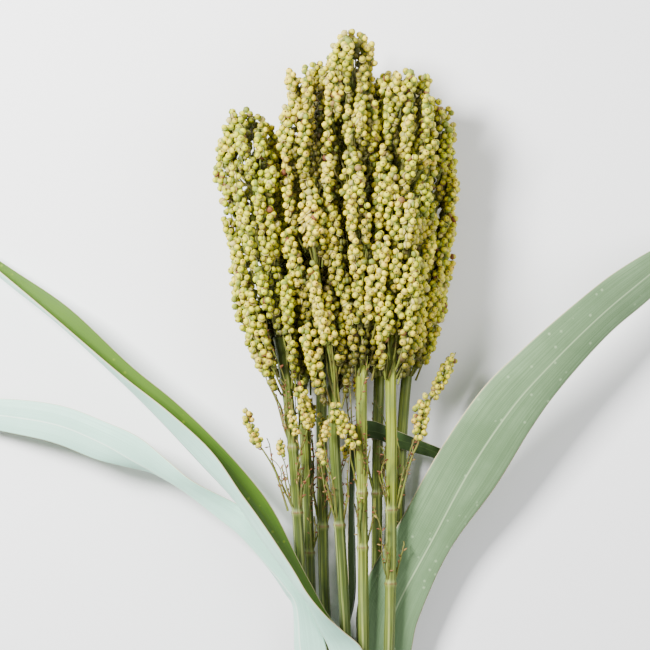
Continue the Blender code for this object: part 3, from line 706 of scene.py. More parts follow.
@dataclass(frozen=True)
class StalkFinish:
    """Ribbed stalk skin: yellow-green above, grey-green below, with pale cream rings at the nodes and painted
    pale highlight streaks along it.
    """

    fresh: tuple = (0.075, 0.11, 0.008, 1)
    sunny: tuple = (0.40, 0.45, 0.02, 1)
    waxy: tuple = (0.115, 0.165, 0.058, 1)
    dull: tuple = (0.05, 0.075, 0.024, 1)
    scar: tuple = (0.13, 0.07, 0.02, 1)
    dark: tuple = (0.03, 0.045, 0.006, 1)
    cream: tuple = (0.40, 0.43, 0.14, 1)

    def material(self, effects: SharedEffects) -> bpy.types.Material:
        """Makes the finish."""
        skin = Skin("stalk_skin", 0.42, effects)
        bright, ring = skin.attribute("bright"), skin.attribute("ring")
        lines, streaks = skin.fibrous(20.0, 18.0, 0.35)
        high = skin.mix(bright, self.fresh, self.sunny)
        low = skin.mix(bright, self.dull, self.waxy)
        base = skin.mix(skin.range(skin.along(), -0.16, -0.02), low, high)
        streaked = skin.mix(skin.range(streaks, 0.46, 0.6, 0.0, 0.8), base, self.dark)
        lined = skin.mix(skin.range(lines, 0.5, 1.0, 0.0, 0.5), streaked, self.dark)
        # Painted highlights: pale cream streaks along the stalk, where its broad fibre streaks are lowest
        highlight_painted = skin.mix(skin.range(streaks, 0.47, 0.36, 0.0, 0.6), lined, self.cream)
        patched = skin.mottled(highlight_painted, low, 60.0, 0.5)
        ringed = skin.mix(skin.range(ring, 0.1, 0.7, 0.0, 0.16), patched, self.cream)
        uneven = skin.calc("MULTIPLY", skin.range(ring, 0.7, 0.92), skin.range(streaks, 0.38, 0.5))
        scarred = skin.mix(skin.calc("MULTIPLY", uneven, 0.85), ringed, self.scar)
        return skin.finished(scarred, skin.range(streaks, 0.3, 0.7, 0.34, 0.52), lines, 0.12 * MM, 0.8)


@dataclass(frozen=True)
class PithFinish:
    """The cut end of a stalk: pale spongy pith with darker fibre ends."""

    pale: tuple = (0.72, 0.70, 0.48, 1)
    fibre: tuple = (0.42, 0.42, 0.20, 1)

    def material(self, effects: SharedEffects) -> bpy.types.Material:
        """Makes the finish."""
        skin = Skin("cut_pith", 0.8, effects)
        spotted, spots = skin.flecked(self.pale, self.fibre, 1500.0, 0.6)
        return skin.finished(skin.mottled(spotted, self.fibre, 700.0, 0.3), None, spots, -0.15 * MM)


@dataclass(frozen=True)
class LeafFinish:
    """One side of a leaf, with fine veins along it, a pale midrib and a thin dry margin."""

    name: str
    base: tuple
    second: tuple
    vein: tuple
    midrib: tuple
    margin: tuple = (0.55, 0.47, 0.28, 1)
    roughness: float = 0.5
    freckles: float = 0.0

    def material(self, effects: SharedEffects) -> bpy.types.Material:
        """Makes the finish."""
        skin = Skin(self.name, self.roughness, effects)
        across = skin.add("SeparateXYZ", {0: skin.place_on_sheet()}).outputs[0]
        off_middle = skin.calc("ABSOLUTE", skin.calc("SUBTRACT", across, 0.5))
        lines, streaks = skin.fibrous(58.0, 7.0, 0.7)
        patched = skin.mottled(self.base, self.second, 22.0, 0.8)
        streaked = skin.mix(skin.range(streaks, 0.4, 0.62, 0.0, 0.75), patched, self.second)
        veined = skin.mix(skin.range(lines, 0.6, 1.0, 0.0, 0.4), streaked, self.vein)
        freckled, _ = skin.flecked(veined, self.vein, 260.0, self.freckles)
        ribbed = skin.mix(skin.range(off_middle, 0.018, 0.004, 0.0, 0.8), freckled, self.midrib)
        edged = skin.mix(skin.range(off_middle, 0.485, 0.497), ribbed, self.margin)
        rough = skin.range(streaks, 0.3, 0.7, self.roughness - 0.08, self.roughness + 0.1)
        return skin.finished(edged, rough, lines, 0.06 * MM, 0.6)


LEAF_UPPER = LeafFinish("leaf_upper_green", base=(0.024, 0.08, 0.0, 1), second=(0.05, 0.12, 0.0, 1),
                        vein=(0.11, 0.19, 0.0, 1), midrib=(0.24, 0.36, 0.04, 1), freckles=0.12,
                        roughness=0.55)
LEAF_UNDER = LeafFinish("leaf_under_mint", base=(0.46, 0.80, 0.64, 1), second=(0.33, 0.62, 0.48, 1),
                        vein=(0.66, 0.86, 0.72, 1), midrib=(0.78, 0.88, 0.74, 1))
LEAF_WAXY = LeafFinish("leaf_waxy_grey_green", base=(0.17, 0.275, 0.135, 1), second=(0.085, 0.155, 0.065, 1),
                       vein=(0.25, 0.36, 0.19, 1), midrib=(0.36, 0.48, 0.26, 1), freckles=0.12)
LEAF_DARK = LeafFinish("leaf_dark_green", base=(0.02, 0.048, 0.01, 1), second=(0.035, 0.07, 0.014, 1),
                       vein=(0.06, 0.10, 0.025, 1), midrib=(0.10, 0.15, 0.05, 1))


@dataclass(frozen=True)
class TwineFinish:
    """Jute twine: golden brown, with darker and lighter fibres along each strand."""

    golden: tuple = (0.50, 0.36, 0.19, 1)
    dark: tuple = (0.27, 0.17, 0.08, 1)
    light: tuple = (0.68, 0.55, 0.34, 1)

    def material(self, effects: SharedEffects) -> bpy.types.Material:
        """Makes the finish."""
        skin = Skin("jute_strand", 0.85, effects)
        hairs = skin.grain(1400.0, detail=5.0, swirl=1.5)
        patched = skin.mottled(self.golden, self.dark, 350.0, 0.7)
        hairy = skin.mix(skin.range(hairs, 0.5, 0.7, 0.0, 0.8), patched, self.light)
        return skin.finished(hairy, None, hairs, 0.3 * MM)


@dataclass(frozen=True)
class FloorFinish:
    """A plain pale floor, faintly mottled like painted board."""

    pale: tuple = (0.93, 0.93, 0.93, 1)
    second: tuple = (0.9, 0.9, 0.9, 1)

    def material(self, effects: SharedEffects) -> bpy.types.Material:
        """Makes the finish."""
        skin = Skin("pale_floor", 0.9, effects)
        return skin.finished(skin.mottled(self.pale, self.second, 3.0, 0.5))


class Finishes:
    """Every material of the bunch, made once."""

    def __init__(self) -> None:
        """Makes the materials."""
        effects = SharedEffects()
        self.seed = SeedFinish().material(effects)
        self.husk = HuskFinish().material(effects)
        self.twig = TwigFinish().material(effects)
        self.stalk = StalkFinish().material(effects)
        self.pith = PithFinish().material(effects)
        self.twine = TwineFinish().material(effects)
        self.floor = FloorFinish().material(effects)
        self.leaf_upper = LEAF_UPPER.material(effects)
        self.leaf_under = LEAF_UNDER.material(effects)
        self.leaf_waxy = LEAF_WAXY.material(effects)
        self.leaf_dark = LEAF_DARK.material(effects)


def deselect_all() -> None:
    """Leaves nothing selected, so that an operator acts on its new piece alone."""
    if bpy.context.object and bpy.context.object.mode != "OBJECT":
        bpy.ops.object.mode_set(mode="OBJECT")
    bpy.ops.object.select_all(action="DESELECT")


def pick(*pieces: bpy.types.Object) -> None:
    """Selects these pieces alone, with the first one active."""
    deselect_all()
    for piece in pieces:
        piece.select_set(True)
    bpy.context.view_layer.objects.active = pieces[0]


def select_places(piece: bpy.types.Object, wanted: Callable) -> None:
    """Selects the vertices of a piece in edit mode whose place passes a test."""
    mesh = bmesh.from_edit_mesh(piece.data)
    for part in (mesh.faces, mesh.edges, mesh.verts):
        for element in part:
            element.select = False
    for vertex in mesh.verts:
        vertex.select = bool(wanted(vertex.co))
    mesh.select_flush(True)
    bmesh.update_edit_mesh(piece.data)


def dress(piece: bpy.types.Object, *materials: bpy.types.Material) -> bpy.types.Object:
    """Gives a piece these materials, in the order of its slots, and returns it."""
    while len(piece.data.materials) < len(materials):
        piece.data.materials.append(None)
    for i, material in enumerate(materials):
        piece.data.materials[i] = material
    return piece


def finish_piece(piece: bpy.types.Object, name: str, slot: str, *nodes: str) -> None:
    """Names a finished piece and ties it to the frame.

    Args:
        piece: The piece, with its materials.
        name: Its name.
        slot: Not used; the record's material slot that it takes its finish from.
        nodes: The CAD nodes that it stands for.
    """
    piece.name = name
    piece.data.name = name
    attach(piece, "root")
    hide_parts(*nodes)
    LOG.info("%s: %d faces", name, len(piece.data.polygons))


class SeedForm(Enum):
    """The forms that are copied over the heads."""

    RIPE = "ripe seed in its cup"
    EMPTY = "empty husk"


@dataclass
class SeedModel:
    """One seed or husk, modelled once round the origin with its tip towards +Z, 1 unit a seed's radius."""

    form: SeedForm
    points: np.ndarray = field(init=False)
    corners: np.ndarray = field(init=False)
    husk_from: int = field(init=False)

    def __post_init__(self) -> None:
        """Models the form, keeps its points and triangles, and removes the piece."""
        shells = self.ripe_shells() if self.form is SeedForm.RIPE else self.empty_shells()
        points, corners, counts = [], [], []
        for shell in shells:
            pick(shell)
            bpy.ops.object.mode_set(mode="EDIT")
            bpy.ops.mesh.select_all(action="SELECT")
            bpy.ops.mesh.quads_convert_to_tris()
            bpy.ops.object.mode_set(mode="OBJECT")
            found = np.array([vertex.co for vertex in shell.data.vertices])
            corners.append(np.array([face.vertices[:] for face in shell.data.polygons])
                           + sum(len(p) for p in points))
            points.append(found)
            counts.append(len(shell.data.polygons))
            bpy.data.objects.remove(shell)
        self.points, self.corners = np.concatenate(points), np.concatenate(corners)
        self.husk_from = counts[0] if self.form is SeedForm.RIPE else 0

    @staticmethod
    def ripe_shells() -> list:
        """A round seed with a slight point, and the lobed cup of scales that holds its lower half."""
        deselect_all()
        bpy.ops.mesh.primitive_uv_sphere_add(segments=7, ring_count=5, radius=1.0)
        seed = bpy.context.object
        bpy.ops.object.mode_set(mode="EDIT")
        select_places(seed, lambda place: place.z > 0.95)
        bpy.ops.transform.translate(value=(0, 0, 0.07))
        select_places(seed, lambda place: place.z < -0.2)
        bpy.ops.transform.resize(value=(0.85, 0.85, 1.05), center_override=(0, 0, 0))
        bpy.ops.object.mode_set(mode="OBJECT")
        deselect_all()
        bpy.ops.mesh.primitive_uv_sphere_add(segments=6, ring_count=4, radius=1.12)
        cup = bpy.context.object
        bpy.ops.object.mode_set(mode="EDIT")
        select_places(cup, lambda place: place.z > 0.3)
        bpy.ops.mesh.delete(type="VERT")
        select_places(cup, lambda place: abs(place.x) > 1 and place.z > -0.3)
        bpy.ops.transform.translate(value=(0, 0, 0.6))
        bpy.ops.transform.resize(value=(0.82, 0.82, 1), center_override=(0, 0, 0))
        select_places(cup, lambda place: abs(place.x) < 1 and place.z > -0.3)
        bpy.ops.transform.translate(value=(0, 0, -0.25))
        select_places(cup, lambda place: place.z > -0.4)
        bpy.ops.mesh.extrude_region_move(MESH_OT_extrude_region={},
                                         TRANSFORM_OT_translate={"value": (0, 0, -0.12)})
        bpy.ops.transform.resize(value=(0.72, 0.72, 1), center_override=(0, 0, 0))
        bpy.ops.object.mode_set(mode="OBJECT")
        return [seed, cup]

    @staticmethod
    def empty_shells() -> list:
        """A narrow husk that has closed on nothing."""
        deselect_all()
        bpy.ops.mesh.primitive_uv_sphere_add(segments=5, ring_count=4, radius=1.0)
        husk = bpy.context.object
        bpy.ops.object.mode_set(mode="EDIT")
        bpy.ops.mesh.select_all(action="SELECT")
        bpy.ops.transform.resize(value=(0.42, 0.3, 0.8), center_override=(0, 0, 0))
        select_places(husk, lambda place: place.z > 0.75)
        bpy.ops.transform.translate(value=(0, 0, 0.35))
        bpy.ops.object.mode_set(mode="OBJECT")
        return [husk]


@dataclass
class Placing:
    """Where one copy of a form stands, how it points, and what its skin is like."""

    point: Vector
    axis: Vector
    turn: float
    size: float
    tone: float
    green: float
    husk: float
    # How deep inside the heads the copy stands, which the finishes paint as shade
    depth: float = 0.0


class SeedStore:
    """Remembers every seed that is placed, so that no two of them run far into each other."""

    def __init__(self, spacing: float) -> None:
        """Takes the least distance between the middles of two seeds."""
        self.spacing = spacing
        self.cells: dict = {}

    def cell(self, point: Vector) -> tuple:
        """The cell of space that a point is in."""
        return tuple(int(math.floor(value / self.spacing)) for value in point)

    def take(self, point: Vector, closeness: float = 1.0) -> bool:
        """Claims a place for a seed.

        Args:
            point: The middle of the seed.
            closeness: The share of the least distance that is asked for here.

        Returns:
            False where another seed is too near, and True once the place is taken.
        """
        home = self.cell(point)
        for dx in (-1, 0, 1):
            for dy in (-1, 0, 1):
                for dz in (-1, 0, 1):
                    for other in self.cells.get((home[0] + dx, home[1] + dy, home[2] + dz), ()):
                        if (other - point).length < self.spacing * closeness:
                            return False
        self.cells.setdefault(home, []).append(point)
        return True


def carry(mesh: bpy.types.Mesh, **numbers: Sequence[float]) -> None:
    """Gives a mesh's vertices numbers, each set under the name that a finish reads it by."""
    for name, values in numbers.items():
        mesh.attributes.new(name, "FLOAT", "POINT").data.foreach_set("value", np.array(values, np.float32))


def copies(model: SeedModel, placings: Sequence[Placing]) -> bpy.types.Object:
    """Copies one modelled form to many places, as one mesh.

    Args:
        model: The form.
        placings: Where each copy goes.

    Returns:
        The object, with the skin's numbers on its vertices, seeds in slot 0 and husks in slot 1.
    """
    axes = np.array([p.axis.normalized() for p in placings])
    helper = np.where(np.abs(axes[:, 2:3]) < 0.9, [[0.0, 0.0, 1.0]], [[1.0, 0.0, 0.0]])
    first = np.cross(helper, axes)
    first /= np.linalg.norm(first, axis=1, keepdims=True)
    second = np.cross(axes, first)
    turns = np.array([p.turn for p in placings])[:, None]
    side = first * np.cos(turns) + second * np.sin(turns)
    up = second * np.cos(turns) - first * np.sin(turns)
    frames = np.stack([side, up, axes], axis=1) * np.array([p.size for p in placings])[:, None, None]
    middles = np.array([p.point for p in placings])[:, None, :]
    places = np.einsum("vk,nkj->nvj", model.points, frames) + middles
    count, each = len(placings), len(model.points)
    faces = (model.corners[None] + (np.arange(count) * each)[:, None, None]).reshape(-1, 3)
    mesh = bpy.data.meshes.new("copies")
    mesh.vertices.add(count * each)
    mesh.vertices.foreach_set("co", places.astype(np.float32).ravel())
    mesh.loops.add(faces.size)
    mesh.loops.foreach_set("vertex_index", faces.astype(np.int32).ravel())
    mesh.polygons.add(len(faces))
    mesh.polygons.foreach_set("loop_start", np.arange(len(faces), dtype=np.int32) * 3)
    slots = (np.arange(len(model.corners)) >= model.husk_from).astype(np.int32)
    mesh.polygons.foreach_set("material_index", np.tile(slots, count))
    mesh.update(calc_edges=True)
    mesh.shade_smooth()
    numbers = {name: np.repeat([getattr(p, name) for p in placings], each)
               for name in ("tone", "green", "husk", "depth")}
    carry(mesh, **numbers, rise=np.tile(model.points[:, 2], count))
    made = bpy.data.objects.new("copies", mesh)
    bpy.context.scene.collection.objects.link(made)
    return made


def join_into(pieces: Sequence[bpy.types.Object]) -> bpy.types.Object:
    """Joins several pieces into the first one."""
    pick(*pieces)
    if len(pieces) > 1:
        bpy.ops.object.join()
    return pieces[0]


@dataclass
class TwigBundle:
    """Many thin branches that become one mesh. Each is a list of points and a radius at either end."""

    branches: list = field(default_factory=list)

    def add(self, points: Sequence[Vector], start: float, end: float) -> None:
        """Adds a branch that tapers from one radius to the other."""
        self.branches.append((list(points), start, end))

    def build(self) -> bpy.types.Object:
        """Draws the branches as bevelled curves, and makes them a mesh."""
        deselect_all()
        bpy.ops.curve.primitive_nurbs_path_add()
        made = bpy.context.object
        curve = made.data
        curve.splines.clear()
        curve.dimensions, curve.bevel_depth, curve.bevel_resolution = "3D", 1.0, 1
        curve.use_fill_caps = True
        for points, start, end in self.branches:
            spline = curve.splines.new("POLY")
            spline.points.add(len(points) - 1)
            for i, point in enumerate(points):
                spline.points[i].co = (*point, 1)
                spline.points[i].radius = start + (end - start) * i / (len(points) - 1)
        bpy.ops.object.convert(target="MESH")
        made.data.shade_smooth()
        return made


@dataclass
class Tuft:
    """Seeds set round a thin line, as a raceme bears them."""

    store: SeedStore
    draw: random.Random
    ring_radius: float = 2.4 * MM
    step: float = 1.25 * MM
    seed_size: float = 1.0
    swell: float = 0.22
    swell_length: float = 9 * MM
    probe: float = 0.05
    outward: float = 0.9
    forward: float = 0.5
    lean: float = 0.55
    green_spread: float = 0.18
    driest_cup: float = 0.92

    def seeds_round(self, points: Sequence[Vector], starts: float, green: float, keep: Callable) -> list:
        """Places the seeds of one raceme.

        Args:
            points: The raceme's line.
            starts: The share of the line before the first seed.
            green: How green its seeds are, 0 to 1.
            keep: Says whether a seed may stand at a point.

        Returns:
            The placings that found room.
        """
        length = length_of(points)
        count = max(3, int(length * (1 - starts) / self.step))
        placed = []
        turn = self.draw.uniform(0, 2 * math.pi)
        beat = self.draw.uniform(0, 2 * math.pi)
        for i in range(count):
            share = starts + (1 - starts) * (i + self.draw.uniform(-0.3, 0.3)) / count
            share = min(max(share, 0), 1)
            turn += GOLDEN_ANGLE + self.draw.uniform(-0.2, 0.2)
            centre = smooth_point(points, share)
            ahead = smooth_point(points, min(share + self.probe, 1))
            ahead = (ahead - smooth_point(points, max(share - self.probe, 0))).normalized()
            first = ahead.cross(Vector((0, 0, 1))).normalized()
            second = ahead.cross(first)
            out = first * math.cos(turn) + second * math.sin(turn)
            fullness = smooth_value((0, 0.2, 0.75, 1), (0.7, 1, 0.95, 0.35), (share - starts) / (1 - starts))
            swell = 1 + self.swell * math.sin(2 * math.pi * share * length / self.swell_length + beat)
            point = centre + out * (self.ring_radius * fullness * swell * self.draw.uniform(0.85, 1.15))
            size = SEED_RADIUS * self.seed_size * self.draw.uniform(0.86, 1.06)
            if point.z < size * 1.15 or not keep(point) or not self.store.take(point, self.seed_size):
                continue
            lean = Vector([self.draw.uniform(-self.lean, self.lean) for _ in range(3)])
            placed.append(Placing(point, axis=out * self.outward + ahead * self.forward + lean,
                                  turn=self.draw.uniform(0, MOST_TURN), size=size, tone=self.draw.random(),
                                  green=min(max(green + self.draw.gauss(0, self.green_spread), 0), 1),
                                  husk=self.draw.uniform(0, self.driest_cup)))
        return placed


@dataclass
class SeedHead:
    """One sorghum head: fine racemes beside each other along every raceme of the CAD head."""

    line: StalkLine
    store: SeedStore
    model: SeedModel
    finishes: Finishes
    dome: float = 26.0
    between: int = 70
    line_steps: int = 7
    lowest: float = 4.5 * MM
    highest: float = 77.5 * MM
    own_side: float = 1.0 * MM
    beside: float = 3.9 * MM
    outside: float = 2.4 * MM
    inside: float = 0.8 * MM
    feet_span: float = 0.92
    feet_below: float = 0.02
    between_reach: float = 50
    between_loss: float = 20
    most_sway: float = 6
    most_proud: float = 8.5 * MM
    hollow_share: float = 0.58
    dark_share: float = 0.55
    covered_tip: float = 25 * MM
    lit_tip: float = 20 * MM
    light_reach: float = 3 * MM
    stem_radii: tuple = (0.7 * MM, 0.35 * MM)
    stem_margin: float = 6 * MM
    rachis_end: tuple = (18 * MM, 0.9 * MM)

    def fine_lines(self, draw: random.Random) -> list:
        """The lines of the fine racemes, outermost first, each with where its seeds begin."""
        found = []
        for spine in self.line.raceme_spines():
            for outward, sideways in ((self.outside, 0.0), (-self.inside, self.beside),
                                      (-self.inside, -self.beside)):
                lean = draw.uniform(-0.8, 0.8) * MM
                ends = draw.uniform(0.9, 1.0) if sideways == 0 else draw.uniform(0.78, 0.97)
                points = []
                for step in range(self.line_steps + 1):
                    share = ends * step / self.line_steps
                    on_spine = smooth_point(spine, share)
                    away = on_spine - self.line.at(on_spine.y)
                    away = away.normalized() if away.length > 1.5 * MM else Vector((0.5, 0, 0.87))
                    side = away.cross(UP_BUNCH)
                    spread = smooth_value((0, 0.3, 0.8, 1), (0.35, 1, 1, 0.5), share)
                    point = on_spine + (away * outward + side * (sideways + lean)) * spread
                    points.append(self.settled(point))
                found.append((outward, points, draw.uniform(0.04, 0.3)))
        found += self.lines_between(draw)
        return sorted(found, key=lambda row: -row[0])

    def settled(self, point: Vector) -> Vector:
        """A point of a fine raceme, kept over the surface and about on its own stalk's side of the next."""
        kept = self.line.keep_in_cell(point, self.own_side)
        return Vector((kept.x, kept.y, min(max(kept.z, self.lowest), self.highest)))

    def lines_between(self, draw: random.Random) -> list:
        """Shorter racemes all round the rachis, each leaning out until its tip is proud of those above."""
        line = self.line
        length = line.top_y - line.base_y
        found = []
        for i in range(self.between):
            share = (i + draw.uniform(0.2, 0.8)) / self.between
            foot = line.base_y + length * (self.feet_span * share - self.feet_below)
            reach = (self.between_reach - self.between_loss * share) * draw.uniform(0.75, 1.2) * MM
            reach = min(reach, line.top_y - 3 * MM - foot)
            turn = i * GOLDEN_ANGLE + draw.uniform(-0.5, 0.5)
            out = Vector((math.cos(turn), 0, math.sin(turn)))
            proud = self.most_proud * draw.random() ** 2
            sway = draw.uniform(-self.most_sway, self.most_sway) * MM
            points = []
            for step in range(self.line_steps + 1):
                along = step / self.line_steps
                y = foot + reach * along
                width = (line.width_at(y) + proud) * (0.42 + 0.58 * along ** 0.7)
                side = out.cross(UP_BUNCH) * (sway * along)
                points.append(self.settled(line.at(y) + out * width + side))
            found.append((proud, points, draw.uniform(0.12, 0.35)))
        return found

    def stands_clear(self, point: Vector) -> bool:
        """True inside the head's rounded top, where a seed is seen and doesn't hide a rachis's bare foot."""
        for name, bare in BARE_FOOT.items():
            beside = point - LINE_OF[name].at(point.y)
            hides = beside.z > -STALK_RADIUS and abs(beside.x) < STALK_RADIUS + 0.6 * SEED_RADIUS
            if hides and point.y < LINE_OF[name].base_y + bare:
                return False
        away = point - self.line.at(point.y)
        if not self.under_dome(point, 0.0):
            return False
        covered = min((self.line.top_y - point.y) / self.covered_tip, 1.0)
        return away.length > self.hollow_share * covered * self.line.width_at(point.y)

    def under_dome(self, point: Vector, margin: float) -> bool:
        """True where a point is at least a margin below the head's rounded top."""
        away = point - self.line.at(point.y)
        return point.y < self.line.top_y - self.dome * away.length_squared - margin

    def depth_of(self, point: Vector) -> float:
        """How deep inside the whole mass of heads a seed stands, 0 to 1, which the seed and husk finishes
        turn into painted shade.
        """
        deepest = 0.0
        for line in STALK_LINES:
            if line.base_y < point.y < line.top_y:
                reach = line.width_at(point.y) + self.light_reach
                inside = 1 - (point - line.at(point.y)).length / reach
                covered = min((line.top_y - point.y) / self.lit_tip, 1.0)
                deepest = max(deepest, inside * covered / self.dark_share)
        return min(deepest, 1.0)

    def build(self) -> None:
        """Builds the seeds and the branches of the head."""
        draw = random.Random(self.line.seed * 13)
        tuft = Tuft(self.store, draw)
        twigs = TwigBundle()
        placings = []
        for _, points, starts in self.fine_lines(draw):
            middle = points[len(points) // 2]
            green = self.line.green + 0.25 * math.sin(middle.x * 210 + middle.y * 95 + self.line.seed)
            placings += tuft.seeds_round(points, starts, green, self.stands_clear)
            stem = [smooth_point(points, 0.9 * step / 6) for step in range(7)]
            stem = [point for point in stem if self.under_dome(point, self.stem_margin)]
            if len(stem) > 2:
                twigs.add(stem, *self.stem_radii)
        # How deep each seed stands, for the painted shade of the seed and husk finishes
        for placing in placings:
            placing.depth = self.depth_of(placing.point)
        below_top, end_radius = self.rachis_end
        length = self.line.top_y - below_top - self.line.base_y
        rachis = [self.line.at(self.line.base_y + length * step / 12) for step in range(13)]
        twigs.add(rachis, RACHIS_RADIUS, end_radius)
        node = "head_" + self.line.name
        seeds = dress(copies(self.model, placings), self.finishes.seed, self.finishes.husk)
        finish_piece(seeds, "seeds_" + self.line.name, "seed", node)
        branches = dress(twigs.build(), self.finishes.twig)
        finish_piece(branches, "branches_" + self.line.name, "seed", node)


@dataclass
class LooseRaceme:
    """A raceme that hangs clear of its head, with the branch that it grows on."""

    line: LooseLine
    store: SeedStore
    model: SeedModel
    husk: SeedModel
    finishes: Finishes
    branch_radii: tuple = (0.75 * MM, 0.4 * MM)
    within: float = 1.1 * MM
    seed_step: float = 0.6 * MM
    seed_size: float = 0.86
    green: float = 0.6
    husks_from: float = 0.1

    def build(self) -> None:
        """Builds the branch, its seeds, and the empty husks where seeds have fallen."""
        draw = random.Random(len(self.line.name) * 31)
        points = [Vector(point) * MM for point in self.line.points]
        twigs = TwigBundle()
        twigs.add([smooth_point(points, step / 16) for step in range(17)], *self.branch_radii)
        tuft = Tuft(self.store, draw, ring_radius=self.line.radius - self.within, step=self.seed_step,
                    seed_size=self.seed_size)
        placings = tuft.seeds_round(points, self.line.seeds_from, self.green, anywhere)
        husks = bare_husks(points, self.husks_from, self.line.seeds_from, draw, twigs)
        seeds = join_into([dress(copies(form, places), self.finishes.seed, self.finishes.husk)
                           for form, places in ((self.model, placings), (self.husk, husks))])
        finish_piece(seeds, "seeds_" + self.line.name, "seed", self.line.name)
        branch = dress(twigs.build(), self.finishes.twig)
        finish_piece(branch, "branch_" + self.line.name, "seed", self.line.name)


# Empty husks on bare branches: how far apart they stand, how long one is at most with the end of its stem,
# and how far over the surface it stays
HUSK_SPACING = 4.6 * MM
HUSK_LENGTH = 3 * MM
HUSK_CLEARANCE = 0.8 * MM


def bare_husks(points: Sequence[Vector], start: float, end: float, draw: random.Random,
               twigs: TwigBundle) -> list:
    """Empty husks on short stems along a bare stretch of branch.

    Args:
        points: The branch's line.
        start: Where the bare stretch begins, as a share of the line.
        end: Where it ends.
        draw: The source of chance.
        twigs: Takes the short stems.

    Returns:
        The placings of the husks.
    """
    length = length_of(points) * (end - start)
    placed = []
    for i in range(int(length / HUSK_SPACING)):
        share = start + (end - start) * (i + draw.uniform(0.1, 0.9)) * HUSK_SPACING / length
        foot = smooth_point(points, share)
        ahead = (smooth_point(points, min(share + 0.03, 1)) - foot).normalized()
        out = Vector([draw.uniform(-1, 1) for _ in range(3)])
        axis = (out.normalized() * 0.8 + ahead * 0.7).normalized()
        stem = draw.uniform(0.3, 1.5) * MM
        tip = foot + axis * stem
        if min(tip.z, (tip + axis * HUSK_LENGTH).z) < HUSK_CLEARANCE:
            continue
        twigs.add([foot, foot + axis * stem * 0.5, tip], 0.25 * MM, 0.2 * MM)
        placed.append(Placing(tip + axis * 0.9 * MM, axis, turn=draw.uniform(0, MOST_TURN),
                              size=1.4 * MM * draw.uniform(0.7, 1.3), tone=draw.random(), green=0.3,
                              husk=draw.uniform(0.84, 1)))
    return placed


# A stalk's width over its node, as places in half the node's length and shares of the usual width
NODE_PROFILE = ((-1.0, 1.0), (-0.5, 1.09), (-0.15, 1.17), (0.1, 1.14), (0.35, 1.02), (1.0, 0.97))


